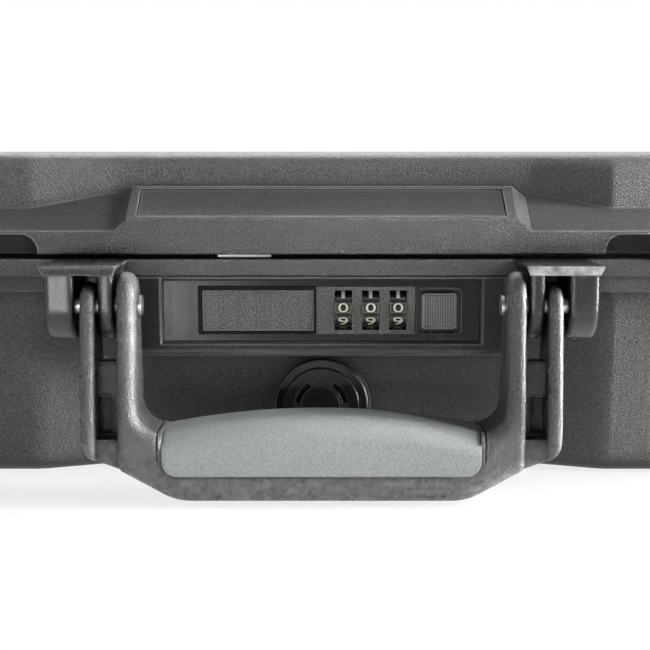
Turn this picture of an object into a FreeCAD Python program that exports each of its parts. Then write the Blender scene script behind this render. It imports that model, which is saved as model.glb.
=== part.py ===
import FreeCAD, Part
import os
import re
import Sketcher
from FreeCAD import Rotation, Vector

# A moulded hard case of attache size: base and lid hinge together at the rear,
# a folding handle hangs from two brackets at the front, and a dial lock sits
# under the rim between them. Millimetres, +Z up, +X right, the handle towards -Y.
# The origin lies in the middle of the flat underside.

document = FreeCAD.newDocument("hard_case")

DIMENSIONS = [
    # both shells
    ("case_width", 510, "rim to rim, left to right"),
    ("case_depth", 312, "rim to rim, front to back"),
    ("base_top", 82, "table to the top of the base rim"),
    ("parting_gap", 1.6, "gap held open by the gasket"),
    ("lid_height", 35.4, "lid, rim edge to top"),
    ("wall", 4, "wall of both shells"),
    ("rim_corner", 34, "corner radius of both rims in plan"),
    # base shell
    ("flange_height", 6.2, "upper band of the base rim"),
    ("rim_edge", 0.8, "rounded outer edges of the rims"),
    ("band_height", 6, "lower band of the base rim"),
    ("band_setback", 2.5, "lower band behind the upper one"),
    ("wall_setback", 8, "wall behind the rim, just under the bands"),
    ("draft", 4, "wall draft in degrees"),
    ("tub_corner", 24, "corner radius of the tub at the floor"),
    ("bottom_round", 9, "round along the bottom edge"),
    ("scoop_half", 77, "half width of the scoop at full depth"),
    ("scoop_ramp", 28, "width of each ramp beside the scoop"),
    ("scoop_depth", 10, "scoop in the front wall behind the handle"),
    ("scoop_bend", 14, "bends where the ramps meet the wall"),
    ("tongue_setback", 8.2, "sealing rib behind the rim"),
    ("tongue_width", 2, "sealing rib"),
    ("seal_clearance", 0.2, "sealing rib to gasket, lid resting"),
    # lid shell
    ("lid_rim_height", 8.4, "vertical rim band of the lid"),
    ("shoulder_angle", 34, "slope of the shoulder above the rim band"),
    ("dome_setback", 10.8, "dome wall behind the rim"),
    ("dome_draft", 3, "dome wall draft in degrees"),
    ("dome_corner", 26, "corner radius of the dome"),
    ("dome_round", 6, "round along the top edge"),
    ("lid_scoop_depth", 7.4, "scoop in the dome behind the boss"),
    ("boss_half", 74.6, "half width of the boss at the rim band"),
    ("boss_taper", 5.2, "each end of the boss leans in by this"),
    ("boss_lip", 4.2, "boss above the shoulder"),
    ("boss_reach", 16.5, "boss, front to back"),
    ("boss_edge", 1.2, "rounded edges of the boss"),
    ("name_half", 65.5, "half width of the blank name plate"),
    ("name_margin", 2.2, "name plate from the edges of the boss"),
    ("name_thick", 1, "name plate"),
    ("name_sink", 0.4, "name plate below the face of the boss"),
    ("name_gap", 0.35, "groove round the name plate"),
    ("groove_setback", 7.2, "gasket groove behind the rim"),
    ("groove_width", 4, "gasket groove"),
    ("groove_depth", 3.6, "gasket groove"),
    ("seat_gap", 0.1, "clearance of pieces that are only laid in"),
    # rear hinges
    ("hinge_inset", 105, "middle of each hinge from the end of the rim"),
    ("hinge_offset", 6, "hinge axis behind the rim"),
    ("knuckle_radius", 5.2, "hinge knuckles"),
    ("lid_knuckle", 30, "length of the lid knuckle"),
    ("base_knuckle", 18, "length of each base knuckle"),
    ("knuckle_gap", 0.4, "side clearance of the knuckles"),
    ("hinge_pin_radius", 2.4, "hinge pins"),
    ("pin_clearance", 0.06, "radial running clearance of pins"),
    # handle and its brackets
    ("pivot_forward", 19.5, "handle axis in front of the rim"),
    ("pivot_drop", 14, "handle axis below the top of the base rim"),
    ("bracket_clear", 2, "brackets beside the lock housing"),
    ("inner_cheek", 6.5, "inner wall of each arm"),
    ("channel", 7.5, "space between the two walls of an arm"),
    ("outer_cheek", 5, "outer wall of each arm"),
    ("cheek_radius", 8, "round end of the arms"),
    ("arm_rise", 3.5, "inner walls of the arms above the outer ones"),
    ("arm_flare_height", 30, "height at which an arm reaches full depth"),
    ("flare_bend", 40, "bend where an arm reaches full depth"),
    ("handle_depth", 24.5, "bar of the handle, front to back"),
    ("handle_bottom", 1.2, "underside of the handle above the table"),
    ("corner_run", 31.8, "outer corners, width of the slope"),
    ("corner_drop", 17.7, "outer corners, height of the slope"),
    ("corner_round", 8, "outer corners, upper bend"),
    ("bar_bend", 20, "lower bends of the handle"),
    ("bar_round", 5.5, "round along the underside of the handle"),
    ("opening_round", 8.4, "inner corners of the handle"),
    ("opening_edge", 4.2, "rounded edges of the opening"),
    ("arm_round", 1.9, "rounded edges of the arm walls"),
    ("web_drop", 19, "arm web starts this far under the axis"),
    ("web_setback", 9, "arm web behind the front of the arm"),
    ("web_thick", 5, "arm web"),
    ("web_lift", 0.3, "arm web above the slope of the handle"),
    ("web_pocket_drop", 12.3, "pocket in the web below its top"),
    ("web_pocket_height", 12.7, "pocket in the web"),
    ("web_pocket_depth", 3, "pocket in the web"),
    ("web_pocket_side", 2.8, "web beside its pocket"),
    ("foot_setback", 3, "foot of the web behind the front of the arm"),
    ("foot_drop", 1, "foot of the web below its pocket"),
    ("grip_inset", 8.5, "grip ends from the opening of the handle"),
    ("grip_bottom", 11, "lower edge of the grip above the table"),
    ("grip_end_top", 25.7, "top of the grip at its ends"),
    ("grip_crown", 5.3, "rise of the grip towards its middle"),
    ("grip_proud", 0.5, "grip stands proud of the frame"),
    ("grip_round", 7.5, "round along the top of the grip"),
    ("grip_corner", 5, "lower corners of the grip"),
    ("core_half_depth", 6.5, "half depth of the bar inside the grip"),
    ("core_cover", 5.5, "grip material above the bar"),
    ("ring_land", 1.2, "collar between the grip and its ring groove"),
    ("ring_width", 0.8, "ring groove beside the grip"),
    ("ring_depth", 0.7, "ring groove beside the grip"),
    ("side_play", 1, "arm wall to bracket leg"),
    ("outer_play", 2, "outer arm wall to outer bracket leg"),
    ("outer_leg", 10.2, "outer leg of a bracket"),
    ("bracket_reach", 26, "bracket in front of the rim"),
    ("bracket_back", 5, "back plate of a bracket"),
    ("bracket_top_thick", 3.3, "top plate of a bracket"),
    ("bracket_overhang", 1.4, "upper edge of the top plate past the legs"),
    ("bracket_edge", 0.5, "rounded edges of the top plate"),
    ("bracket_foot", 12.5, "bracket legs below the axis"),
    ("bracket_toe", 12, "round toe of the bracket legs"),
    ("leg_round", 2, "rounded edges of the bracket legs"),
    ("pin_radius", 2.8, "handle pins"),
    ("pin_head_radius", 3.5, "heads of the handle pins"),
    ("pin_head", 1.2, "heads of the handle pins, thickness"),
    ("pin_cover", 2.5, "material left at the end of the pin hole"),
    ("screw_radius", 1.75, "screws of brackets and lock housing"),
    ("screw_head_radius", 3.5, "their heads"),
    ("screw_head", 2.4, "their heads, thickness"),
    ("screw_bite", 9, "depth of a screw in the piece it holds"),
    ("screw_gap", 0.2, "screws in their clearance holes"),
    ("screw_boss", 5, "radius of the screw bosses inside the wall"),
    ("screw_rise", 1, "screw bosses inside the wall"),
    ("bracket_screw_drop", 7.4, "bracket screws below the axis"),
    # lock housing and face
    ("housing_land", 9, "housing past its rear part, takes the screws"),
    ("housing_height", 28.9, "lock housing"),
    ("housing_seat", 17, "seat of the housing behind the rim"),
    ("housing_gap", 0.2, "housing to the rim above it"),
    ("housing_round", 2.5, "lower front edge of the housing"),
    ("tail_half", 59, "half width of the part that passes the wall"),
    ("tail_lift", 3.3, "its underside above that of the housing"),
    ("tail_drop", 1.6, "its top below the housing top"),
    ("plate_lap", 2, "recess for the face plate inside the sides of the rear part"),
    ("plate_rise", 5.3, "recess above the underside of the housing"),
    ("plate_drop", 1.2, "recess below the top of the housing"),
    ("recess_bevel", 0.8, "bevel round the recess"),
    ("plate_sink", 1.8, "face plate behind the housing front"),
    ("plate_thick", 2.2, "face plate"),
    ("plate_gap", 0.2, "face plate in its recess"),
    ("tail_wall", 5, "side walls of the rear part"),
    ("works_floor", 1, "floor of the works above the edge of the recess"),
    ("works_ceiling", 1.2, "ceiling of the works below the edge of the recess"),
    ("spring_room", 1.5, "flat return spring between slide and cover"),
    ("cover_thick", 2, "rear cover of the lock"),
    ("cover_screw_radius", 1.2, "cover screws"),
    ("cover_screw_head", 2.2, "cover screws, head radius"),
    ("cover_screw_rise", 1.4, "cover screws, head thickness"),
    ("cover_screw_margin", 3.2, "cover screws from the edge"),
    ("cover_screw_bite", 5, "cover screws in the housing"),
    ("panel_margin", 13, "dial panel from the left end of the recess"),
    ("plate_bar", 0.9, "plate between dial panel and button recess"),
    ("panel_rise", 3, "dial panel above the lower edge of the recess"),
    ("panel_drop", 2.4, "dial panel below the upper edge of the recess"),
    ("panel_sink", 1, "dial panel behind the housing front"),
    ("blank_margin", 0.8, "blank panel from the left end of the dial panel"),
    ("blank_end", 10, "blank panel from the middle of the first wheel"),
    ("blank_rise", 0.5, "blank panel above the lower edge of the dial panel"),
    ("blank_drop", 0.8, "blank panel below the upper edge of the dial panel"),
    ("blank_thick", 1.1, "blank panel"),
    ("blank_gap", 0.5, "groove round the blank panel"),
    # number wheels
    ("panel_end", 3, "last wheel from the right end of the dial panel"),
    ("wheel_pitch", 9.85, "wheel to wheel"),
    ("wheel_radius", 8.25, "number wheels"),
    ("wheel_width", 5.8, "number wheels"),
    ("wheel_proud", 0.6, "wheels in front of the dial panel"),
    ("wheel_notch", 0.75, "radius of the notches between the numbers"),
    ("wheel_count", 10, "numbers on a wheel"),
    ("wheel_tilt", 7, "zero stands this many degrees above the middle"),
    ("wheel_gap", 0.25, "wheels to the back of the dial panel"),
    ("window_width", 6.35, "windows of the dial panel"),
    ("window_margin", 1.3, "windows from the edges of the dial panel"),
    ("shaft_radius", 2, "dial shaft"),
    ("ear_thick", 1.8, "ears that hold the dial shaft"),
    ("ear_gap", 0.3, "ears to the wheels"),
    ("ear_margin", 2.6, "material round the shaft"),
    ("cam_radius", 4.3, "code cams"),
    ("cam_width", 2.8, "code cams"),
    ("cam_notch", 1.2, "notch of a code cam"),
    ("detent_thick", 0.4, "leaf spring that clicks the wheels"),
    ("detent_gap", 0.3, "leaf spring to the wheels"),
    ("detent_foot", 4, "height of the strip that joins the leaves"),
    ("detent_reach", 11, "length of the leaves"),
    ("detent_width", 3, "width of the leaves"),
    # release button, slide and strike
    ("works_play", 3.2, "works past the collar of the button"),
    ("button_width", 12.4, "button"),
    ("button_height", 12.8, "button"),
    ("button_margin", 1.7, "recess round the button"),
    ("button_proud", 1, "button in front of the face plate"),
    ("button_corner", 1.2, "corner radius of the button"),
    ("button_travel", 2.5, "stroke of the button"),
    ("collar_thick", 2, "collar that keeps the button in"),
    ("collar_lap", 0.7, "collar behind the face plate"),
    ("stem_half", 3, "half width of the stem of the button"),
    ("slide_gap", 0.6, "slide behind the leaf spring"),
    ("slide_thick", 1.8, "release slide"),
    ("slide_drop", 3.6, "release slide below the middle of the button"),
    ("slide_end", 4, "slide past the middle of the button"),
    ("fence_half", 1, "half width of the teeth that face the cams"),
    ("fence_gap", 0.6, "teeth to cams"),
    ("claw_past", 0.8, "claw in front of the strike"),
    ("claw_x", -27.5, "claw from the centre"),
    ("claw_half", 3.5, "half width of the claw"),
    ("claw_rise", 2.8, "top of the claw above the middle of the button"),
    ("claw_thick", 0.7, "claw"),
    ("strike_setback", 5, "strike behind the rim"),
    ("strike_thick", 0.9, "strike sheet"),
    ("strike_half", 9.5, "half width of the strike"),
    ("strike_window", 6, "half width of the window in the strike"),
    ("strike_window_height", 4, "window in the strike"),
    ("strike_lip", 0.7, "bar under the window"),
    ("strike_clearance", 0.2, "bar above the claw, lid resting"),
    ("strike_flange", 3.9, "screwed leg of the strike"),
    ("strike_screw_radius", 1, "strike screws"),
    ("strike_screw_head", 1.5, "strike screws, head radius"),
    ("strike_screw_length", 5, "strike screws"),
    ("strike_screw_half", 6.2, "strike screws from the middle of the strike"),
    ("slot_clearance", 0.8, "slot in the rim round the strike"),
    ("spring_thick", 0.4, "return spring of the slide"),
    ("spring_half", 14, "half length of the return spring"),
    ("spring_height", 4, "width of the return spring"),
    # valve
    ("valve_drop", 21.2, "valve below the lock housing"),
    ("valve_radius", 17.6, "valve flange"),
    ("valve_seat", 19, "valve seat behind the rim"),
    ("valve_seat_lap", 0.8, "seat past the flange"),
    ("valve_flange", 2.4, "valve flange"),
    ("valve_cap_radius", 14.2, "slotted cap"),
    ("valve_cap_thick", 2.2, "slotted cap"),
    ("valve_cap_proud", 0.6, "cap in front of the flange"),
    ("valve_cap_gap", 0.25, "groove round the cap"),
    ("valve_edge", 0.6, "bevelled edges of valve flange and cap"),
    ("valve_hub", 7.4, "plain disc in the middle of the cap"),
    ("valve_slot", 2, "arc slots of the cap"),
    ("valve_slot_start", 4, "arc slots, lower end in degrees"),
    ("valve_slot_end", 62, "arc slots, upper end in degrees"),
    ("valve_groove", 0.5, "groove round the hub of the cap"),
    ("valve_stem", 11, "stem through the wall"),
    ("valve_bore", 8, "air way in the stem"),
    ("valve_hole_gap", 0.3, "stem in the wall"),
    ("valve_nut", 15.5, "nut, corner radius"),
    ("valve_nut_thick", 4.5, "nut"),
    ("valve_boss", 1.3, "flat seat of the nut inside the wall"),
    ("seal_radius", 16.9, "seal ring under the flange, outside"),
    ("seal_width", 1.6, "seal ring"),
    ("seal_depth", 1.2, "seal ring"),
    ("membrane_thick", 0.5, "membrane behind the cap"),
    # side latches
    ("pocket_inset", 154, "latch pocket starts this far from the end of the rim"),
    ("pocket_width", 88, "latch pocket"),
    ("pocket_top", 7.2, "latch pocket above the lid edge"),
    ("pocket_depth", 6, "latch pocket"),
    ("pocket_round", 6, "upper corners of the latch pocket"),
    ("latch_half", 24, "half width of a latch"),
    ("latch_ear", 8.2, "width of each latch ear"),
    ("latch_play", 0.8, "ears to the lug"),
    ("latch_forward", 7, "latch axis in front of the rim"),
    ("latch_height", 4.4, "latch axis above the lid edge"),
    ("latch_barrel", 4.3, "radius round the latch axis"),
    ("latch_front", 3.4, "latch plate in front of its axis"),
    ("latch_back", 2.3, "latch plate behind its axis"),
    ("latch_nose_drop", 22, "top of the hook below the axis"),
    ("latch_nose", 4, "height of the hook"),
    ("latch_nose_reach", 6.1, "hook behind the axis"),
    ("latch_tab_drop", 32, "end of the pull tab below the axis"),
    ("latch_tab_flare", 3.5, "pull tab leans out by this"),
    ("latch_pin_radius", 1.6, "latch pins"),
    ("latch_tab_thick", 2.6, "pull tab"),
    ("latch_round", 5, "lower corners of the latch"),
]

sheet = document.addObject("Spreadsheet::Sheet", "dims")
for row, (alias, value, note) in enumerate(DIMENSIONS, start=1):
    sheet.set(f"A{row}", note)
    sheet.set(f"B{row}", str(value))
    sheet.setAlias(f"B{row}", alias)

# Planes and axes that several pieces share, each worked out from the sizes above.
PLACES = [
    ("half_width", "case_width / 2"),
    ("half_depth", "case_depth / 2"),
    ("front", "-case_depth / 2"),
    ("rear", "case_depth / 2"),
    ("flange_low", "base_top - flange_height"),
    ("band_low", "base_top - flange_height - band_height"),
    ("lid_low", "base_top + parting_gap"),
    ("lid_top", "base_top + parting_gap + lid_height"),
    ("rim_top", "base_top + parting_gap + lid_rim_height"),
    ("boss_top", "base_top + parting_gap + lid_rim_height + boss_lip"),
    ("tub_inset", "wall_setback + band_low * tan(draft)"),
    ("scoop_turn", "atan(scoop_depth / scoop_ramp) / 2"),
    ("lid_scoop_turn", "atan(lid_scoop_depth / scoop_ramp) / 2"),
    ("hinge_y", "rear + hinge_offset"),
    ("hinge_spread", "half_width - hinge_inset"),
    ("pivot_height", "base_top - pivot_drop"),
    ("hinge_z", "base_top + parting_gap / 2"),
    ("pivot_y", "front - pivot_forward"),
    ("works_half", "tail_half - tail_wall"),
    ("plate_half", "tail_half - plate_lap"),
    ("housing_half", "tail_half + housing_land"),
    ("leg_inner", "housing_half + bracket_clear"),
    ("opening_half", "leg_inner - side_play - inner_cheek"),
    ("grip_half", "opening_half - grip_inset"),
    ("arm_split", "opening_half + inner_cheek"),
    ("outer_wall", "opening_half + inner_cheek + channel"),
    ("arm_side", "opening_half + inner_cheek + channel + outer_cheek"),
    ("leg_split", "opening_half + inner_cheek + channel - side_play"),
    ("leg_outer", "arm_side + outer_play"),
    ("bracket_side", "arm_side + outer_play + outer_leg"),
    ("bracket_low", "pivot_height - bracket_foot"),
    ("bracket_screw_z", "pivot_height - bracket_screw_drop"),
    ("bracket_screw_in", "(leg_inner + leg_split) / 2"),
    ("bracket_screw_out", "(leg_outer + bracket_side) / 2"),
    ("pin_end", "bracket_side - pin_cover"),
    ("handle_front", "pivot_y - handle_depth / 2"),
    ("handle_back", "pivot_y + handle_depth / 2"),
    ("flare_in", "flare_bend - handle_depth / 2"),
    ("flare_up", "pivot_height - arm_flare_height"),
    ("arm_lean", "atan(flare_up / flare_in)"
                 " - acos((flare_bend - cheek_radius) / sqrt(flare_in ^ 2 + flare_up ^ 2))"),
    ("inner_up", "flare_up + arm_rise"),
    ("inner_lean", "atan(inner_up / flare_in)"
                   " - acos((flare_bend - cheek_radius) / sqrt(flare_in ^ 2 + inner_up ^ 2))"),
    ("core_top", "grip_end_top - core_cover"),
    ("web_top", "pivot_height - web_drop"),
    ("crown_radius", "(grip_half ^ 2 + grip_crown ^ 2) / (2 * grip_crown)"),
    ("housing_top", "flange_low - housing_gap"),
    ("housing_low", "housing_top - housing_height"),
    ("housing_back", "front + housing_seat"),
    ("tail_low", "housing_low + tail_lift"),
    ("plate_low", "housing_low + plate_rise"),
    ("plate_high", "housing_top - plate_drop"),
    ("works_low", "plate_low + works_floor"),
    ("works_high", "plate_high - works_ceiling"),
    ("plate_front", "front + plate_sink"),
    ("plate_back", "front + plate_sink + plate_thick"),
    ("panel_front", "front + panel_sink"),
    ("panel_low", "plate_low + panel_rise"),
    ("panel_high", "plate_high - panel_drop"),
    ("panel_left", "-plate_half + panel_margin"),
    ("panel_right", "button_left - button_margin - plate_bar"),
    ("wheel_first", "panel_right - panel_end - wheel_width / 2 - 2 * wheel_pitch"),
    ("wheel_height", "(panel_low + panel_high) / 2"),
    ("window_low", "panel_low + window_margin"),
    ("window_high", "panel_high - window_margin"),
    ("blank_left", "panel_left + blank_margin"),
    ("blank_width", "wheel_first - blank_end - blank_left"),
    ("blank_low", "panel_low + blank_rise"),
    ("blank_height", "panel_high - blank_drop - blank_low"),
    ("button_left", "works_half - works_play - collar_lap - button_margin - button_width"),
    ("button_low", "(plate_low + plate_high - button_height) / 2"),
    ("works_end", "slide_back + button_travel + spring_room"),
    ("wall_inside", "front + wall_setback + scoop_depth + wall"),
    ("wheel_y", "front + panel_sink - wheel_proud + wheel_radius"),
    ("ear_left", "wheel_first - wheel_width / 2 - cam_width - ear_gap"),
    ("ear_right", "wheel_first + 2 * wheel_pitch + wheel_width / 2 + ear_gap"),
    ("detent_y", "wheel_y + wheel_radius + detent_gap"),
    ("slide_y", "detent_y + detent_thick + slide_gap"),
    ("slide_back", "slide_y + slide_thick"),
    ("button_middle", "button_left + button_width / 2"),
    ("button_mid_z", "button_low + button_height / 2"),
    ("slide_low", "button_mid_z - slide_drop"),
    ("claw_top", "button_mid_z + claw_rise"),
    ("strike_y", "front + strike_setback"),
    ("strike_low", "claw_top + strike_clearance"),
    ("valve_y", "front + valve_seat"),
    ("valve_height", "housing_low - valve_drop"),
    ("valve_front", "front + valve_seat - valve_flange"),
    ("valve_floor", "valve_front + valve_cap_thick - valve_cap_proud"),
    ("nut_seat", "wall_inside + (band_low - valve_height) * tan(draft) + valve_boss"),
    ("housing_screw_x", "(housing_half + tail_half) / 2"),
    ("housing_screw_z", "(housing_low + housing_top) / 2"),
    ("screw_seat", "wall_inside + (band_low - bracket_low) * tan(draft) + screw_rise"),
    ("pocket_start", "half_width - pocket_inset"),
    ("latch_x", "pocket_start + pocket_width / 2"),
    ("latch_y", "front - latch_forward"),
    ("latch_z", "lid_low + latch_height"),
]

SIZES = {alias for alias, value, note in DIMENSIONS}
SHARED = {alias for alias, formula in PLACES}


def bind(text):
    """Write a size formula with the sheets' names in front of its words."""
    def named(found):
        word = found.group(0)
        if word in SIZES:
            return "dims." + word
        return "places." + word if word in SHARED else word
    return re.sub(r"[a-z_][a-z0-9_]*", named, str(text))


places = document.addObject("Spreadsheet::Sheet", "places")
for row, (alias, formula) in enumerate(PLACES, start=1):
    local = re.sub(r"places\.", "", bind(formula))
    places.set(f"A{row}", alias)
    places.setAlias(f"B{row}", alias)
    places.set(f"B{row}", "=" + local)
document.recompute()


def number(text):
    """The present value of a size formula."""
    return float(sheet.evalExpression(bind(text)))


nodes = []


def node(name, shape_object):
    """Name a finished piece and put it on the list of pieces."""
    shape_object.Label = name
    nodes.append(shape_object)
    return shape_object


def new_body(label):
    body = document.addObject("PartDesign::Body", "Body")
    body.Label = label
    return body


PLANES = {"XY": "XY_Plane", "XZ": "XZ_Plane", "YZ": "YZ_Plane"}


def new_sketch(body, plane, level):
    """A sketch on one of the body's own planes, moved to a level along its axis."""
    sketch = body.newObject("Sketcher::SketchObject", "Sketch")
    role = PLANES[plane]
    support = next(f for f in body.Origin.OriginFeatures if f.Role == role)
    sketch.AttachmentSupport = [(support, "")]
    sketch.MapMode = "FlatFace"
    sign = "-1" if plane == "XZ" else "1"
    sketch.setExpression("AttachmentOffset.Base.z", bind(f"({level}) * {sign}"))
    return sketch


def hold(sketch, kind, geometry, point, formula):
    """Tie one coordinate of a sketch point to a size formula."""
    constraint = Sketcher.Constraint(kind, -1, 1, geometry, point, number(formula))
    index = sketch.addConstraint(constraint)
    sketch.setExpression(f"Constraints[{index}]", bind(formula))


def draw(sketch, path):
    """Draw a circle, or a closed outline of corners (x, y) and of arcs.

    An arc is its kind, its centre and its end: "arc" bulges out, "hollow" bends in.
    """
    first = sketch.GeometryCount
    if path[0] == "circle":
        centre = Vector(number(path[1]), number(path[2]), 0)
        sketch.addGeometry(Part.Circle(centre, Vector(0, 0, 1), number(path[3])))
        hold(sketch, "DistanceX", first, 3, path[1])
        hold(sketch, "DistanceY", first, 3, path[2])
        index = sketch.addConstraint(Sketcher.Constraint("Radius", first, number(path[3])))
        sketch.setExpression(f"Constraints[{index}]", bind(path[3]))
        return
    ends = [(step[-2], step[-1]) for step in path]
    for index, step in enumerate(path):
        start = Vector(number(ends[index - 1][0]), number(ends[index - 1][1]), 0)
        end = Vector(number(ends[index][0]), number(ends[index][1]), 0)
        if len(step) == 2:
            sketch.addGeometry(Part.LineSegment(start, end))
            continue
        centre = Vector(number(step[1]), number(step[2]), 0)
        circle = Part.Circle(centre, Vector(0, 0, 1), (start - centre).Length)
        low, high = circle.parameter(start), circle.parameter(end)
        if step[0] == "hollow":
            low, high = high, low
        sketch.addGeometry(Part.ArcOfCircle(circle, low, high))
    count = len(path)
    for index, step in enumerate(path):
        after = path[(index + 1) % count]
        leave = 1 if step[0] == "hollow" else 2
        enter = 2 if after[0] == "hollow" else 1
        follower = first + (index + 1) % count
        sketch.addConstraint(Sketcher.Constraint(
            "Coincident", first + index, leave, follower, enter))
    for index, step in enumerate(path):
        leave = 1 if step[0] == "hollow" else 2
        hold(sketch, "DistanceX", first + index, leave, ends[index][0])
        hold(sketch, "DistanceY", first + index, leave, ends[index][1])
        if len(step) == 2:
            continue
        wide = abs(number(ends[index][0]) - number(ends[index - 1][0]))
        tall = abs(number(ends[index][1]) - number(ends[index - 1][1]))
        if tall >= wide:
            hold(sketch, "DistanceX", first + index, 3, step[1])
        else:
            hold(sketch, "DistanceY", first + index, 3, step[2])


def rounded(half_x, half_y, radius):
    """A rectangle about the origin with its four corners rounded."""
    left, right = f"-({half_x})", f"({half_x})"
    low, high = f"-({half_y})", f"({half_y})"
    bend = f"({radius})"
    return [
        (f"{right} - {bend}", low),
        ("arc", f"{right} - {bend}", f"{low} + {bend}", right, f"{low} + {bend}"),
        (right, f"{high} - {bend}"),
        ("arc", f"{right} - {bend}", f"{high} - {bend}", f"{right} - {bend}", high),
        (f"{left} + {bend}", high),
        ("arc", f"{left} + {bend}", f"{high} - {bend}", left, f"{high} - {bend}"),
        (left, f"{low} + {bend}"),
        ("arc", f"{left} + {bend}", f"{low} + {bend}", f"{left} + {bend}", low),
    ]


def pad(body, plane, level, length, *outlines):
    """Extrude outlines from a level towards the positive side of the axis."""
    sketch = new_sketch(body, plane, level)
    for outline in outlines:
        draw(sketch, outline)
    feature = body.newObject("PartDesign::Pad", "Pad")
    feature.Profile = sketch
    feature.Reversed = plane == "XZ"
    feature.setExpression("Length", bind(length))
    document.recompute()
    return feature


def lean(body, angle, outward):
    """Give the upright sides of a body a draft, with its lower face as it is."""
    last = body.Tip
    levels = [face.CenterOfMass.z for face in last.Shape.Faces]
    upright = []
    for index, face in enumerate(last.Shape.Faces, start=1):
        if abs(face.normalAt(0, 0).z) < 1e-6:
            upright.append(f"Face{index}")
    feature = body.newObject("PartDesign::Draft", "Draft")
    feature.Base = (last, upright)
    feature.NeutralPlane = (last, [f"Face{levels.index(min(levels)) + 1}"])
    feature.Reversed = outward
    feature.setExpression("Angle", bind(angle))
    document.recompute()
    return feature


def pocket(body, plane, level, length, *outlines):
    """Cut outlines out of a body, from a level towards the positive side."""
    before = body.Shape.Volume
    sketch = new_sketch(body, plane, level)
    for outline in outlines:
        draw(sketch, outline)
    feature = body.newObject("PartDesign::Pocket", "Pocket")
    feature.Profile = sketch
    feature.Reversed = plane != "XZ"
    feature.setExpression("Length", bind(length))
    document.recompute()
    if body.Shape.Volume >= before - 1e-6:
        raise RuntimeError(f"a cut in {body.Label} misses the solid")
    return feature


def prism(label, plane, level, length, *outlines):
    """A body with one extrusion."""
    body = new_body(label)
    pad(body, plane, level, length, *outlines)
    return body


def spun(label, outline, x, y, z, axis):
    """A turned piece: an outline of (along, radius) turned about its own axis."""
    body = new_body(label)
    sketch = new_sketch(body, "XY", "0")
    draw(sketch, outline)
    feature = body.newObject("PartDesign::Revolution", "Revolution")
    feature.Profile = sketch
    feature.ReferenceAxis = (sketch, ["H_Axis"])
    feature.Angle = 360
    turn = {"X": Rotation(), "Y": Rotation(Vector(0, 0, 1), 90)}[axis]
    body.Placement.Rotation = turn
    for letter, formula in (("x", x), ("y", y), ("z", z)):
        body.setExpression(f"Placement.Base.{letter}", bind(formula))
    document.recompute()
    return body


def edges_where(shape, wanted):
    """Numbers of the edges whose ends and middle all fit a description."""
    found = []
    for index, edge in enumerate(shape.Edges, start=1):
        middle = edge.valueAt((edge.FirstParameter + edge.LastParameter) / 2)
        points = [vertex.Point for vertex in edge.Vertexes] + [middle]
        if all(wanted(point) for point in points):
            found.append(index)
    return found


def soften(body, radius, wanted):
    """Round the chosen edges of a body's last feature."""
    last = body.Tip
    numbers = edges_where(last.Shape, wanted)
    if not numbers:
        raise RuntimeError(f"no edge to round on {body.Label}")
    feature = body.newObject("PartDesign::Fillet", "Fillet")
    feature.Base = (last, [f"Edge{number_}" for number_ in numbers])
    feature.setExpression("Radius", bind(radius))
    document.recompute()
    return feature


def soften_solid(label, solid, radius, wanted):
    """Round the chosen edges of a solid made by joining or cutting."""
    document.recompute()
    bend = number(radius)
    feature = document.addObject("Part::Fillet", "Fillet")
    feature.Label = label
    feature.Base = solid
    feature.Edges = [(index, bend, bend) for index in edges_where(solid.Shape, wanted)]
    document.recompute()
    return feature


def near(value, formula):
    return abs(value - number(formula)) < 1e-3


def block(label, left, right, near_y, far_y, low, high):
    """A box between six planes."""
    feature = document.addObject("Part::Box", "Box")
    feature.Label = label
    feature.setExpression("Length", bind(f"({right}) - ({left})"))
    feature.setExpression("Width", bind(f"({far_y}) - ({near_y})"))
    feature.setExpression("Height", bind(f"({high}) - ({low})"))
    feature.setExpression("Placement.Base.x", bind(left))
    feature.setExpression("Placement.Base.y", bind(near_y))
    feature.setExpression("Placement.Base.z", bind(low))
    return feature


TURNS = {
    "X": Rotation(Vector(0, 1, 0), 90),
    "Y": Rotation(Vector(1, 0, 0), -90),
    "Z": Rotation(),
}


def rod(label, axis, radius, length, x, y, z):
    """A round bar from a point along one axis."""
    feature = document.addObject("Part::Cylinder", "Cylinder")
    feature.Label = label
    feature.setExpression("Radius", bind(radius))
    feature.setExpression("Height", bind(length))
    feature.Placement.Rotation = TURNS[axis]
    feature.setExpression("Placement.Base.x", bind(x))
    feature.setExpression("Placement.Base.y", bind(y))
    feature.setExpression("Placement.Base.z", bind(z))
    return feature


def join(label, *solids):
    feature = document.addObject("Part::MultiFuse", "Fusion")
    feature.Label = label
    feature.Shapes = list(solids)
    feature.Refine = True
    return feature


def cut(label, solid, *tools):
    tool = tools[0] if len(tools) == 1 else join(label + " cutters", *tools)
    feature = document.addObject("Part::Cut", "Cut")
    feature.Label = label
    feature.Base = solid
    feature.Tool = tool
    feature.Refine = True
    return feature


def overlap(label, *solids):
    feature = document.addObject("Part::MultiCommon", "Common")
    feature.Label = label
    feature.Shapes = list(solids)
    return feature


def group(label, *solids):
    """Like fasteners, kept as separate solids of one piece."""
    feature = document.addObject("Part::Compound", "Compound")
    feature.Label = label
    feature.Links = list(solids)
    return feature


def mirrored(label, solid):
    """The same piece on the other side of the case."""
    feature = document.addObject("Part::Mirroring", "Mirror")
    feature.Label = label
    feature.Source = solid
    feature.Normal = Vector(1, 0, 0)
    return feature


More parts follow.
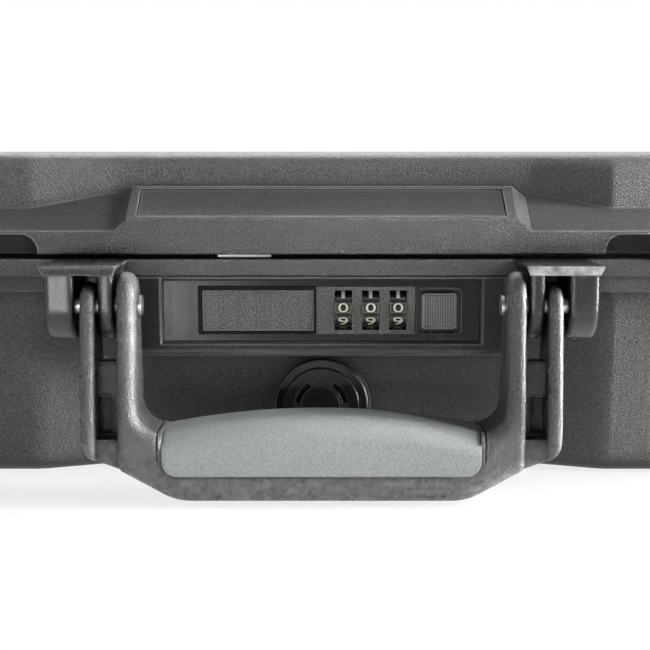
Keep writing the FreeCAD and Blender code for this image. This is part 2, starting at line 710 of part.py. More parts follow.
def shell_plan(inset, corner, depth, turn, grow):
    """Plan of a shell: rounded corners, and a scoop with soft ramps in the front side."""
    side = f"half_width - ({inset}) - ({grow})"
    end = f"half_depth - ({inset}) - ({grow})"
    level = f"-({end})"
    full = f"{level} + {depth}"
    outer = f"(scoop_half + scoop_ramp + {grow} * tan({turn}))"
    inner = f"(scoop_half + {grow} * tan({turn}))"
    out_bend = f"(scoop_bend - {grow})"
    in_bend = f"(scoop_bend + {grow})"
    out_slip = f"{out_bend} * tan({turn})"
    in_slip = f"{in_bend} * tan({turn})"
    along, rise = f"cos(2 * {turn})", f"sin(2 * {turn})"
    return rounded(side, end, corner) + [
        (f"-{outer} - {out_slip}", level),
        ("arc", f"-{outer} - {out_slip}", f"{level} + {out_bend}",
         f"-{outer} + {out_slip} * {along}", f"{level} + {out_slip} * {rise}"),
        (f"-{inner} - {in_slip} * {along}", f"{full} - {in_slip} * {rise}"),
        ("hollow", f"-{inner} + {in_slip}", f"{full} - {in_bend}", f"-{inner} + {in_slip}", full),
        (f"{inner} - {in_slip}", full),
        ("hollow", f"{inner} - {in_slip}", f"{full} - {in_bend}",
         f"{inner} + {in_slip} * {along}", f"{full} - {in_slip} * {rise}"),
        (f"{outer} - {out_slip} * {along}", f"{level} + {out_slip} * {rise}"),
        ("arc", f"{outer} + {out_slip}", f"{level} + {out_bend}", f"{outer} + {out_slip}", level),
    ]


def rectangle(left, right, low, high):
    return [(left, low), (right, low), (right, high), (left, high)]


# Base shell: a drafted tub with rounded corners and bottom edge. The front wall
# steps in behind the handle. Two bands form the rim, and a rib on it meets the gasket.
tub = prism("tub", "XY", "0", "flange_low", shell_plan(
    "tub_inset", "tub_corner", "scoop_depth", "scoop_turn", "0"))
lean(tub, "draft", True)
soften(tub, "bottom_round", lambda point: abs(point.z) < 1e-3)
tub_space = prism("tub space", "XY", "wall", "base_top", shell_plan(
    "tub_inset - wall * tan(draft)", "tub_corner - wall", "scoop_depth", "scoop_turn", "wall"))
lean(tub_space, "draft", True)
rim_outline = rounded("half_width", "half_depth", "rim_corner")
flange = prism("rim flange", "XY", "flange_low", "flange_height", rim_outline)
soften(flange, "rim_edge", lambda point: near(point.z, "flange_low") or near(point.z, "base_top"))
band = prism("rim band", "XY", "band_low", "band_height", rounded(
    "half_width - band_setback", "half_depth - band_setback", "rim_corner - band_setback"))
soften(band, "rim_edge", lambda point: near(point.z, "band_low"))


def rim_ring(label, level, length, setback, width):
    """A closed ring that follows the rim."""
    inner = f"{setback} + {width}"
    return prism(
        label, "XY", level, length,
        rounded(f"half_width - {setback}", f"half_depth - {setback}", f"rim_corner - {setback}"),
        rounded(f"half_width - ({inner})", f"half_depth - ({inner})", f"rim_corner - ({inner})"))


tongue = rim_ring("sealing rib", "base_top", "parting_gap - seal_clearance",
                  "tongue_setback", "tongue_width")
bracket_seat = block("bracket seat", "leg_inner", "bracket_side", "front", "wall_inside",
                     "bracket_low", "flange_low")
lock_seat = block("lock seat", "-leg_inner", "leg_inner", "housing_back", "wall_inside",
                  "housing_low - wall / 2", "flange_low")
valve_seat = rod("valve seat", "Y", "valve_radius + valve_seat_lap", "wall_inside - valve_y",
                 "0", "valve_y", "valve_height")


def knuckles(label, spans, low, high):
    """Hinge knuckles on the rear rim, each on a web of its own."""
    made = []
    for start, length in spans:
        made.append(rod(label, "X", "knuckle_radius", length, start, "hinge_y", "hinge_z"))
        made.append(block(label + " web", start, f"{start} + {length}", "rear - wall", "hinge_y",
                          low, high))
    return made


lid_spans = [(f"{side} * hinge_spread - lid_knuckle / 2", "lid_knuckle") for side in ("-1", "1")]
base_spans = []
for side in ("-1", "1"):
    reach = "lid_knuckle / 2 + knuckle_gap"
    base_spans.append((f"{side} * hinge_spread + {reach}", "base_knuckle"))
    base_spans.append((f"{side} * hinge_spread - ({reach}) - base_knuckle", "base_knuckle"))
hinge_length = "lid_knuckle + 2 * (knuckle_gap + base_knuckle)"
hinge_bores = [
    rod("hinge bore", "X", "hinge_pin_radius + pin_clearance", f"{hinge_length} + 2",
        f"{side} * hinge_spread - ({hinge_length}) / 2 - 1", "hinge_y", "hinge_z")
    for side in ("-1", "1")]
base_outside = join(
    "base outside", tub, flange, band, tongue, bracket_seat,
    mirrored("bracket seat left", bracket_seat), lock_seat, valve_seat,
    *knuckles("base knuckle", base_spans, "flange_low", "base_top"))
base_walls = cut("base walls", base_outside, tub_space)
screw_points = [
    (f"{side} * {place}", level)
    for side in ("-1", "1")
    for place, level in (("bracket_screw_in", "bracket_screw_z"),
                         ("bracket_screw_out", "bracket_screw_z"),
                         ("housing_screw_x", "housing_screw_z"))]
inside_bosses = [
    rod("screw boss", "Y", "screw_boss", "screw_seat - housing_back", x, "housing_back", z)
    for x, z in screw_points]
nut_boss = rod("nut seat", "Y", "valve_nut + valve_seat_lap", "nut_seat - wall_inside + wall / 2",
               "0", "wall_inside - wall / 2", "valve_height")
base_bossed = join("base with bosses", base_walls, nut_boss, *inside_bosses)
lock_room = block(
    "room for the lock", "-housing_half - housing_gap", "housing_half + housing_gap",
    "front - 1", "housing_back", "housing_low - housing_gap", "flange_low")
lock_window = block(
    "window for the lock", "-tail_half - housing_gap", "tail_half + housing_gap",
    "housing_back - 1", "screw_seat + 2", "tail_low - housing_gap",
    "housing_top - tail_drop + housing_gap")
valve_hole = rod("valve hole", "Y", "valve_stem + valve_hole_gap", "nut_seat - valve_y + 2",
                 "0", "valve_y - 1", "valve_height")
slot_left = "claw_x - strike_half - slot_clearance"
slot_right = "claw_x + strike_half + slot_clearance"
slot_near = "strike_y - slot_clearance"
slot_far = "strike_y + strike_thick + slot_clearance"
strike_slot = block("strike slot", slot_left, slot_right, slot_near, slot_far,
                    "flange_low - 1", "base_top + 1")
screw_holes = [
    rod("screw hole", "Y", "screw_radius + screw_gap", "screw_seat - front + 2", x, "front - 1", z)
    for x, z in screw_points]
base_shell = node("base_shell", cut(
    "base_shell", base_bossed, lock_room, lock_window, valve_hole, strike_slot,
    *screw_holes, *hinge_bores))

# Lid shell: an upright rim band, a shoulder sloping up to the drafted dome, and a
# boss on the shoulder whose top has the same slope. The dome is scooped behind it.
lid_rim = prism("lid rim", "XY", "lid_low", "lid_rim_height", rim_outline)
soften(lid_rim, "rim_edge", lambda point: near(point.z, "lid_low"))
shoulder = prism("shoulder", "XY", "rim_top",
                 "(dome_setback + lid_scoop_depth + wall / 2) * tan(shoulder_angle)", rim_outline)
lean(shoulder, "90 - shoulder_angle", False)
dome = prism("dome", "XY", "rim_top", "lid_height - lid_rim_height", shell_plan(
    "dome_setback", "dome_corner", "lid_scoop_depth", "lid_scoop_turn", "0"))
lean(dome, "dome_draft", False)
soften(dome, "dome_round", lambda point: near(point.z, "lid_top"))
lid_space = prism("lid space", "XY", "lid_low", "lid_height - wall", shell_plan(
    "dome_setback - lid_rim_height * tan(dome_draft)", "dome_corner - wall", "lid_scoop_depth",
    "lid_scoop_turn", "wall"))
lean(lid_space, "dome_draft", False)
boss_back = "front + boss_reach"
boss_high = "boss_top + boss_reach * tan(shoulder_angle)"
boss_pad = prism("boss pad", "XZ", "-boss_reach", "3 * boss_reach", [
    ("-boss_half - boss_taper", "-boss_lip * cos(shoulder_angle)"),
    ("boss_half + boss_taper", "-boss_lip * cos(shoulder_angle)"),
    ("boss_half - boss_taper", "boss_lip * cos(shoulder_angle)"),
    ("-boss_half + boss_taper", "boss_lip * cos(shoulder_angle)")])
boss_pad.Placement.Rotation = Rotation(Vector(1, 0, 0), 1)
boss_pad.setExpression("Placement.Rotation.Angle", bind("shoulder_angle"))
boss_pad.setExpression("Placement.Base.y", bind("front"))
boss_pad.setExpression("Placement.Base.z", bind("rim_top"))
boss_limits = block("boss limits", "-boss_half", "boss_half", "front", boss_back, "rim_top", boss_high)


def on_boss_edge(point):
    """True round the sloped face of the boss, apart from its rear, and up its front corners."""
    slope = number("tan(shoulder_angle)")
    level = number("boss_top") + (point.y - number("front")) * slope
    at_rear = near(point.y, boss_back) and abs(point.x) < number("boss_half - 2 * boss_taper")
    at_foot = near(point.z, "rim_top") and abs(point.x) < number("boss_half - boss_taper")
    return (abs(point.z - level) < 1e-3 or near(point.y, "front")) and not at_rear and not at_foot


boss = soften_solid("boss", overlap("boss rough", boss_pad, boss_limits), "boss_edge", on_boss_edge)


def on_boss(label, half, start, end, low, high):
    """A block laid on the sloped face of the boss; heights count from that face."""
    feature = document.addObject("Part::Box", "Box")
    feature.Label = label
    feature.setExpression("Length", bind(f"2 * ({half})"))
    feature.setExpression("Width", bind(f"({end}) - ({start})"))
    feature.setExpression("Height", bind(f"({high}) - ({low})"))
    feature.Placement.Rotation = Rotation(Vector(1, 0, 0), 1)
    feature.setExpression("Placement.Rotation.Angle", bind("shoulder_angle"))
    feature.setExpression("Placement.Base.x", bind(f"-({half})"))
    feature.setExpression("Placement.Base.y", bind(
        f"front + ({start}) * cos(shoulder_angle) - ({low}) * sin(shoulder_angle)"))
    feature.setExpression("Placement.Base.z", bind(
        f"boss_top + ({start}) * sin(shoulder_angle) + ({low}) * cos(shoulder_angle)"))
    return feature


name_end = "boss_reach / cos(shoulder_angle) - name_margin"
name_recess = on_boss("name plate recess", "name_half + name_gap", "name_margin - name_gap",
                      f"{name_end} + name_gap", "-name_thick - name_sink", "name_thick")
groove = rim_ring("gasket groove", "lid_low", "groove_depth", "groove_setback", "groove_width")
pocket_end = "pocket_start + pocket_width"
pocket_high = "lid_low + pocket_top"
latch_pocket = prism("latch pocket", "XZ", "front - 1", "pocket_depth + 1", [
    (pocket_end, "lid_low"), (pocket_end, f"{pocket_high} - pocket_round"),
    ("arc", f"{pocket_end} - pocket_round", f"{pocket_high} - pocket_round",
     f"{pocket_end} - pocket_round", pocket_high),
    ("pocket_start + pocket_round", pocket_high),
    ("arc", "pocket_start + pocket_round", f"{pocket_high} - pocket_round",
     "pocket_start", f"{pocket_high} - pocket_round"),
    ("pocket_start", "lid_low")])
lug_half = "latch_half - latch_ear - latch_play"
lug_radius = "latch_barrel - latch_play"
latch_lug = prism("latch lug", "YZ", f"latch_x - ({lug_half})", f"2 * ({lug_half})", [
    ("front + pocket_depth + 1", f"latch_z - ({lug_radius}) + latch_play"),
    ("front + pocket_depth + 1", f"latch_z + {lug_radius}"),
    ("latch_y", f"latch_z + {lug_radius}"),
    ("arc", "latch_y", "latch_z", "latch_y", f"latch_z - ({lug_radius})"),
    ("front", f"latch_z - ({lug_radius})")])
latch_bore = rod("latch bore", "X", "latch_pin_radius + pin_clearance", "2 * latch_half + 2",
                 "latch_x - latch_half - 1", "latch_y", "latch_z")
lid_outside = join(
    "lid outside", lid_rim, shoulder, dome, boss,
    *knuckles("lid knuckle", lid_spans, "lid_low", "rim_top"))
lid_open = cut("lid open", lid_outside, lid_space, groove, name_recess, latch_pocket,
               mirrored("latch pocket left", latch_pocket))
lid_lugs = join("lid with lugs", lid_open, latch_lug, mirrored("latch lug left", latch_lug))
strike_screw_y = "strike_y + strike_thick - strike_flange / 2"
strike_points = [(f"claw_x + {side} * strike_screw_half", strike_screw_y) for side in ("-1", "1")]
strike_bores = [
    rod("strike screw hole", "Z", "strike_screw_radius", "strike_screw_length",
        x, y, "lid_low - strike_thick")
    for x, y in strike_points]
lid_shell = node("lid_shell", cut(
    "lid_shell", lid_lugs, latch_bore, mirrored("latch bore left", latch_bore),
    *strike_bores, *hinge_bores))

# Gasket: a soft ring in the groove of the lid, level with the edge of the rim.
lid_gasket = node("lid_gasket", rim_ring(
    "lid_gasket", "lid_low", "groove_depth - seat_gap", "(groove_setback + seat_gap)",
    "groove_width - 2 * seat_gap"))

# Blank name plate: a thin moulded insert on the floor of its recess.
lid_name_plate = node("lid_name_plate", on_boss(
    "lid_name_plate", "name_half", "name_margin", name_end, "-name_thick - name_sink", "-name_sink"))

# Hinge pins: plain steel rods through the knuckles.
for word, side in (("left", "-1"), ("right", "1")):
    node(f"hinge_pin_{word}", rod(
        f"hinge_pin_{word}", "X", "hinge_pin_radius", hinge_length,
        f"{side} * hinge_spread - ({hinge_length}) / 2", "hinge_y", "hinge_z"))

# Handle frame: an inner frame of two arm walls and a low bar, and an outer wall beside
# each arm, both cut to one side view. A pocketed web ties the two walls of an arm together.
grip_outline = [
    ("grip_half - grip_corner", "grip_bottom"),
    ("arc", "grip_half - grip_corner", "grip_bottom + grip_corner",
     "grip_half", "grip_bottom + grip_corner"),
    ("grip_half", "grip_end_top"),
    ("arc", "0", "grip_end_top + grip_crown - crown_radius", "-grip_half", "grip_end_top"),
    ("-grip_half", "grip_bottom + grip_corner"),
    ("arc", "-grip_half + grip_corner", "grip_bottom + grip_corner",
     "-grip_half + grip_corner", "grip_bottom")]
arm_top = "pivot_height + cheek_radius"
inner_top = f"{arm_top} + arm_rise"


def slope_at(x):
    """Height of the sloped corner of the handle over a place."""
    return f"handle_bottom + corner_drop * (corner_run + ({x}) - arm_side) / corner_run"


def side_view(label, start, width, centre, tilt):
    """The handle seen from the side: round at its upper end, wider down to the bar."""
    arm_in, arm_up = f"cheek_radius * cos({tilt})", f"cheek_radius * sin({tilt})"
    flare_in_y, flare_up_z = f"flare_bend * (1 - cos({tilt}))", f"flare_bend * sin({tilt})"
    return prism(label, "YZ", start, width, [
        (f"pivot_y + {arm_in}", f"{centre} + {arm_up}"),
        ("arc", "pivot_y", centre, f"pivot_y - {arm_in}", f"{centre} + {arm_up}"),
        (f"handle_front + {flare_in_y}", f"arm_flare_height + {flare_up_z}"),
        ("arc", "handle_front + flare_bend", "arm_flare_height", "handle_front", "arm_flare_height"),
        ("handle_front", "handle_bottom"), ("handle_back", "handle_bottom"),
        ("handle_back", "arm_flare_height"),
        ("arc", "handle_back - flare_bend", "arm_flare_height",
         f"handle_back - {flare_in_y}", f"arm_flare_height + {flare_up_z}")])


def at_corner(point, x, z):
    return near(abs(point.x), x) and near(point.z, z)


def along(edge):
    """How far an edge runs front to back, and how far it runs across."""
    first, last = edge.Vertexes[0].Point, edge.Vertexes[-1].Point
    return abs(first.y - last.y), abs(first.x - last.x) + abs(first.z - last.z)


frame_face = prism("frame, front view", "XZ", "handle_front", "handle_depth", [
    ("-arm_split", inner_top), ("-arm_split", slope_at("arm_split")),
    ("-arm_side + corner_run", "handle_bottom"), ("arm_side - corner_run", "handle_bottom"),
    ("arm_split", slope_at("arm_split")), ("arm_split", inner_top),
    ("opening_half", inner_top), ("opening_half", "grip_end_top"),
    ("-opening_half", "grip_end_top"), ("-opening_half", inner_top)])
soften(frame_face, "opening_round", lambda point: at_corner(point, "opening_half", "grip_end_top"))
soften(frame_face, "bar_bend", lambda point: at_corner(point, "arm_side - corner_run", "handle_bottom"))
frame_side = side_view("frame, side view", "-arm_split", "2 * arm_split", "pivot_height + arm_rise",
                       "inner_lean")
frame_rough = overlap("frame rough", frame_face, frame_side)


def under_bar(point):
    face = near(point.y, "handle_front") or near(point.y, "handle_back")
    slope = number("corner_drop / corner_run")
    low = max(number("handle_bottom"), number(slope_at("0")) + abs(point.x) * slope)
    return face and point.z < low + 1


frame_soft = soften_solid("frame, bar rounded", frame_rough, "bar_round", under_bar)
frame_soft = soften_solid("frame, outer edges rounded", frame_soft, "arm_round",
                          lambda point: near(abs(point.x), "arm_split"))


def round_opening(label, solid, radius):
    """Round the edges of the opening, front and back, over the tops of the arms."""
    document.recompute()
    bend = number(radius)
    chosen = []
    inside = number("opening_half") + 1e-3
    for index in edges_where(solid.Shape, lambda point: abs(point.x) < inside
                             and point.z > number("grip_end_top") - 1e-3):
        forth, across = along(solid.Shape.Edges[index - 1])
        if across > 1e-3:
            chosen.append((index, bend, bend))
    feature = document.addObject("Part::Fillet", "Fillet")
    feature.Label = label
    feature.Base = solid
    feature.Edges = chosen
    document.recompute()
    return feature


frame_soft = round_opening("frame, opening rounded", frame_soft, "opening_edge")
wall_face = prism("outer wall, front view", "XZ", "handle_front", "handle_depth", [
    ("outer_wall", arm_top), ("outer_wall", slope_at("outer_wall")),
    ("arm_side", "handle_bottom + corner_drop"), ("arm_side", arm_top)])
soften(wall_face, "corner_round",
       lambda point: at_corner(point, "arm_side", "handle_bottom + corner_drop"))
wall_side = side_view("outer wall, side view", "outer_wall", "outer_cheek", "pivot_height", "arm_lean")
soften(wall_side, "arm_round", lambda point: (
    near(point.x, "outer_wall") or near(point.x, "arm_side")) and not (
    near(point.z, "handle_bottom") and abs(point.y - number("pivot_y")) < number("handle_depth / 4")))
outer_wall = overlap("outer wall", wall_face, wall_side)
arm_web = prism("arm web", "XZ", "handle_front + web_setback", "web_thick", [
    ("arm_split - arm_round", slope_at("arm_split") + " + web_lift"),
    ("outer_wall + arm_round", slope_at("outer_wall") + " + web_lift"),
    ("outer_wall + arm_round", "web_top"), ("arm_split - arm_round", "web_top")])
pocket(arm_web, "XZ", "handle_front + web_setback", "web_pocket_depth", rectangle(
    "arm_split + web_pocket_side", "outer_wall + arm_round", "web_top - web_pocket_drop - web_pocket_height",
    "web_top - web_pocket_drop"))
foot_top = "web_top - web_pocket_drop - web_pocket_height - foot_drop"
web_foot = prism("web foot", "XZ", "handle_front + foot_setback",
                 "web_setback + web_thick - foot_setback", [
                     ("arm_split - arm_round", slope_at("arm_split") + " + web_lift"),
                     ("outer_wall + arm_round", slope_at("outer_wall") + " + web_lift"),
                     ("outer_wall + arm_round", foot_top), ("arm_split - arm_round", foot_top)])
arm_outside = join("arm outside", outer_wall, arm_web, web_foot)
grip_room = prism("room for the grip", "XZ", "handle_front - 1", "handle_depth + 2", grip_outline)
arm_bore = rod("arm bore", "X", "pin_radius + pin_clearance", "2 * arm_side + 2",
               "-arm_side - 1", "pivot_y", "pivot_height")
ring_bend = "(opening_edge - ring_depth)"
ring_low = "grip_bottom + grip_corner"
ring_groove = prism("ring groove", "YZ", "grip_half + ring_land", "ring_width", [
    ("handle_front - 1", ring_low), ("handle_front + ring_depth", ring_low),
    ("handle_front + ring_depth", "grip_end_top - opening_edge"),
    ("hollow", "handle_front + opening_edge", "grip_end_top - opening_edge",
     "handle_front + opening_edge", "grip_end_top - ring_depth"),
    ("handle_back - opening_edge", "grip_end_top - ring_depth"),
    ("hollow", "handle_back - opening_edge", "grip_end_top - opening_edge",
     "handle_back - ring_depth", "grip_end_top - opening_edge"),
    ("handle_back - ring_depth", ring_low), ("handle_back + 1", ring_low),
    ("handle_back + 1", "grip_end_top + opening_round"),
    ("handle_front - 1", "grip_end_top + opening_round")])
grip_core = block("bar inside the grip", "-grip_half", "grip_half", "pivot_y - core_half_depth",
                  "pivot_y + core_half_depth", "grip_bottom", "core_top")
handle_open = cut("handle open", join("handle whole", frame_soft, arm_outside,
                                      mirrored("arm outside left", arm_outside)),
                  grip_room, arm_bore, ring_groove, mirrored("ring groove left", ring_groove))
handle_frame = node("handle_frame", join("handle_frame", handle_open, grip_core))

# Grip: rubber moulded over the bar, crowned along its length and round on top.
grip_body = prism("grip body", "XZ", "handle_front - grip_proud",
                  "handle_depth + 2 * grip_proud", grip_outline)
soften(grip_body, "grip_round", lambda point: point.z > number("grip_end_top") - 1e-3 and (
    near(point.y, "handle_front - grip_proud") or near(point.y, "handle_back + grip_proud")))
handle_grip = node("handle_grip", cut("handle_grip", grip_body, grip_core))

# Handle brackets: a back plate, two legs with round toes that take the pin, and a thin
# top plate whose edges lean out past the legs.
bracket_front = "front - bracket_reach"
plate_low_z = "base_top - bracket_top_thick"


def bracket_leg(label, left, right):
    leg = prism(label, "YZ", left, f"{right} - {left}", [
        ("front", "bracket_low"), ("front", plate_low_z), (bracket_front, plate_low_z),
        (bracket_front, "bracket_low + bracket_toe"),
        ("arc", f"{bracket_front} + bracket_toe", "bracket_low + bracket_toe",
         f"{bracket_front} + bracket_toe", "bracket_low")])

    def on_rim(point):
        side = near(point.x, left) or near(point.x, right)
        inner = point.y < number("front") + 1e-3 and point.z > number("bracket_low + bracket_toe") + 1e-3
        return side and not (inner and point.y > number(bracket_front) + 1e-3)
    soften(leg, "leg_round", lambda point: on_rim(point) and not (
        near(point.y, "front") and point.z > number("bracket_low") + 1e-3))
    return leg


inner_leg = bracket_leg("inner bracket leg", "leg_inner", "leg_split")
outer_leg = bracket_leg("outer bracket leg", "leg_outer", "bracket_side")
back_plate = block("bracket back", "leg_split - leg_round", "leg_outer + leg_round",
                   "front - bracket_back", "front", "bracket_low + leg_round", plate_low_z)
top_plate = prism("bracket top", "XY", plate_low_z, "bracket_top_thick", rectangle(
    "leg_inner", "bracket_side", bracket_front, "front + bracket_overhang"))
lean(top_plate, "atan(bracket_overhang / bracket_top_thick)", True)
soften(top_plate, "bracket_edge", lambda point: near(point.z, "base_top"))
top_trim = block("bracket top trim", "leg_inner - 2 * bracket_overhang",
                 "bracket_side + 2 * bracket_overhang", f"{bracket_front} - 2 * bracket_overhang",
                 "front", plate_low_z, "base_top")
bracket_whole = join("bracket whole", inner_leg, outer_leg, back_plate,
                     overlap("bracket top trimmed", top_plate, top_trim))
pin_hole = rod("pin hole", "X", "pin_radius + pin_clearance", "pin_end + seat_gap - opening_half",
               "opening_half", "pivot_y", "pivot_height")
leg_holes = [
    rod("leg screw hole", "Y", "screw_radius", "screw_bite", x, "front - screw_bite",
        "bracket_screw_z")
    for x in ("bracket_screw_in", "bracket_screw_out")]
handle_bracket_right = node("handle_bracket_right", cut(
    "handle_bracket_right", bracket_whole, pin_hole, *leg_holes))
handle_bracket_left = node("handle_bracket_left", mirrored(
    "handle_bracket_left", handle_bracket_right))

# Handle pins: turned steel with a flat head against the inner arm wall.
pin_head_end = "opening_half - seat_gap"
handle_pin_right = node("handle_pin_right", spun("handle_pin_right", [
    ("0", "0"), ("pin_head + pin_end - opening_half + seat_gap", "0"),
    ("pin_head + pin_end - opening_half + seat_gap", "pin_radius"), ("pin_head", "pin_radius"),
    ("pin_head", "pin_head_radius"), ("0", "pin_head_radius")],
    f"{pin_head_end} - pin_head", "pivot_y", "pivot_height", "X"))
handle_pin_left = node("handle_pin_left", mirrored("handle_pin_left", handle_pin_right))


def screw(label, length, radius, head_radius, head, x, y, z):
    """A screw pointing to the front, its head against the inside of the case."""
    return spun(label, [
        ("0", "0"), (f"{length} + {head}", "0"), (f"{length} + {head}", head_radius),
        (length, head_radius), (length, radius), ("0", radius)], x, f"{y} - ({length})", z, "Y")


bracket_screws = node("bracket_screws", group("bracket_screws", *[
    screw("bracket screw", "screw_seat - front + screw_bite", "screw_radius", "screw_head_radius",
          "screw_head", x, "screw_seat", z)
    for x, z in screw_points if "bracket" in x]))

# Lock housing: a block under the rim, recessed for the face plate and hollow for
# the works. Its rear part passes through the wall and is closed by a cover.
housing_front = block("housing front", "-housing_half", "housing_half", "front", "housing_back",
                      "housing_low", "housing_top")
housing_bent = soften_solid("housing rounded", housing_front, "housing_round", lambda point: near(
    point.y, "front") and near(point.z, "housing_low"))
housing_tail = block("housing tail", "-tail_half", "tail_half", "housing_back", "works_end",
                     "tail_low", "housing_top - tail_drop")
plate_recess = block("plate recess", "-plate_half", "plate_half", "front - 1", "plate_back",
                     "plate_low", "plate_high")
works = block("works", "-works_half", "works_half", "front", "works_end + 1", "works_low",
              "works_high")
strike_way = block("strike way", slot_left, slot_right, slot_near, slot_far, "works_high - 1",
                   "housing_top + 1")
cover_points = [
    (f"{side} * (tail_half + works_half) / 2", level)
    for side in ("-1", "1")
    for level in ("tail_low + cover_screw_margin", "housing_top - tail_drop - cover_screw_margin")]
cover_holes = [
    rod("cover screw hole", "Y", "cover_screw_radius", "cover_screw_bite + cover_thick",
        x, "works_end - cover_screw_bite", z)
    for x, z in cover_points]
housing_holes = [
    rod("housing screw hole", "Y", "screw_radius", "screw_bite", x, "housing_back - screw_bite", z)
    for x, z in screw_points if "housing" in x]
housing_recessed = cut("housing recessed", housing_bent, plate_recess)
document.recompute()
housing_bevel = document.addObject("Part::Chamfer", "Chamfer")
housing_bevel.Label = "housing with bevelled recess"
housing_bevel.Base = housing_recessed
bevel = number("recess_bevel")
housing_bevel.Edges = [
    (index, bevel, bevel) for index in edges_where(housing_recessed.Shape, lambda point: (
        near(point.y, "front") and abs(point.x) < number("plate_half") + 1e-3
        and point.z > number("plate_low") - 1e-3 and point.z < number("plate_high") + 1e-3))]
lock_housing = node("lock_housing", cut(
    "lock_housing", join("housing whole", housing_bevel, housing_tail), works,
    strike_way, *cover_holes, *housing_holes))
housing_screws = node("housing_screws", group("housing_screws", *[
    screw("housing screw", "screw_seat - housing_back + screw_bite", "screw_radius",
          "screw_head_radius", "screw_head", x, "screw_seat", z)
    for x, z in screw_points if "housing" in x]))
lock_cover = node("lock_cover", cut("lock_cover", block(
    "cover plate", "-tail_half", "tail_half", "works_end", "works_end + cover_thick", "tail_low",
    "housing_top - tail_drop"), *cover_holes))
cover_screws = node("cover_screws", group("cover_screws", *[
    screw("cover screw", "cover_thick + cover_screw_bite", "cover_screw_radius",
          "cover_screw_head", "cover_screw_rise", x, "works_end + cover_thick", z)
    for x, z in cover_points]))

# Lock face: a smooth plate with one opening for the dial panel and one for the button.
lock_plate = prism(
    "lock_plate", "XZ", "plate_front", "plate_thick",
    rectangle("-plate_half + plate_gap", "plate_half - plate_gap", "plate_low + plate_gap",
              "plate_high - plate_gap"),
    rectangle("panel_left - plate_gap", "panel_right + plate_gap", "panel_low - plate_gap",
              "panel_high + plate_gap"),
    rectangle("button_left - button_margin", "button_left + button_width + button_margin",
              "button_low - button_margin", "button_low + button_height + button_margin"))
soften(lock_plate, "button_margin", lambda point: (
    near(abs(point.x - number("button_middle")), "button_width / 2 + button_margin")
    and near(abs(point.z - number("button_mid_z")), "button_height / 2 + button_margin")))
node("lock_plate", lock_plate)

# Dial panel: three windows, a recess for the blank panel, and two ears behind that
# carry the dial shaft.
wheel_places = [f"wheel_first + {step} * wheel_pitch" for step in range(3)]
panel_body = prism("panel body", "XZ", "panel_front", "plate_back - panel_front", rectangle(
    "panel_left", "panel_right", "panel_low", "panel_high"))
pocket(panel_body, "XZ", "panel_front", "plate_back - panel_front", *[
    rectangle(f"{x} - window_width / 2", f"{x} + window_width / 2", "window_low", "window_high")
    for x in wheel_places])
pocket(panel_body, "XZ", "panel_front", "blank_thick", rectangle(
    "blank_left", "blank_left + blank_width", "blank_low", "blank_low + blank_height"))
ears = [
    block("shaft ear", left, f"{left} + ear_thick", "plate_back", "wheel_y + shaft_radius + ear_margin",
          "wheel_height - shaft_radius - ear_margin", "wheel_height + shaft_radius + ear_margin")
    for left in ("ear_left - ear_thick", "ear_right")]
shaft_start = "ear_left - ear_thick"
shaft_length = "ear_right - ear_left + 2 * ear_thick"
shaft_bore = rod("shaft bore", "X", "shaft_radius + pin_clearance", f"{shaft_length} + 2",
                 f"{shaft_start} - 1", "wheel_y", "wheel_height")
wheel_rooms = [
    rod("wheel room", "X", "wheel_radius + wheel_gap", "window_width", f"{x} - window_width / 2",
        "wheel_y", "wheel_height")
    for x in wheel_places]
dial_panel = node("dial_panel", cut(
    "dial_panel", join("panel with ears", panel_body, *ears), shaft_bore, *wheel_rooms))
blank_panel = node("blank_panel", block(
    "blank_panel", "blank_left + blank_gap", "blank_left + blank_width - blank_gap",
    "panel_front + blank_gap", "panel_front + blank_thick", "blank_low + blank_gap",
    "blank_low + blank_height - blank_gap"))
dial_shaft = node("dial_shaft", rod("dial_shaft", "X", "shaft_radius", shaft_length, shaft_start,
                                    "wheel_y", "wheel_height"))

# Number wheels: ten finger notches between the numbers, a bore for the shaft, and
# a notched code cam beside each wheel.
for step, x in enumerate(wheel_places, start=1):
    wheel = new_body(f"dial_wheel_{step}")
    wheel.setExpression("Placement.Base.x", bind(x))
    wheel.setExpression("Placement.Base.y", bind("wheel_y"))
    wheel.setExpression("Placement.Base.z", bind("wheel_height"))
    pad(wheel, "YZ", "-wheel_width / 2", "wheel_width", ("circle", "0", "0", "wheel_radius"),
        ("circle", "0", "0", "shaft_radius + pin_clearance"))
    notch_turn = "180 / wheel_count - wheel_tilt"
    notch = pocket(wheel, "YZ", "-wheel_width / 2", "wheel_width", (
        "circle", f"-wheel_radius * cos({notch_turn})", f"-wheel_radius * sin({notch_turn})",
        "wheel_notch"))
    notches = wheel.newObject("PartDesign::PolarPattern", "Notches")
    notches.Originals = [notch]
    notches.Axis = (notch.Profile[0], ["N_Axis"])
    notches.Angle = 360
    notches.setExpression("Occurrences", bind("wheel_count"))
    wheel.Tip = notches
    node(f"dial_wheel_{step}", wheel)
    cam_left = f"{x} - wheel_width / 2 - cam_width"
    cam = rod("cam", "X", "cam_radius", "cam_width", cam_left, "wheel_y", "wheel_height")
    cam_slot = block("cam notch", f"{cam_left} - 1", f"{cam_left} + cam_width",
                     "wheel_y + cam_radius - cam_notch", "wheel_y + cam_radius + 1",
                     "wheel_height - fence_half - fence_gap", "wheel_height + fence_half + fence_gap")
    cam_bore = rod("cam bore", "X", "shaft_radius + pin_clearance", "cam_width + 2",
                   f"{cam_left} - 1", "wheel_y", "wheel_height")
    node(f"dial_cam_{step}", cut(f"dial_cam_{step}", cam, cam_slot, cam_bore))

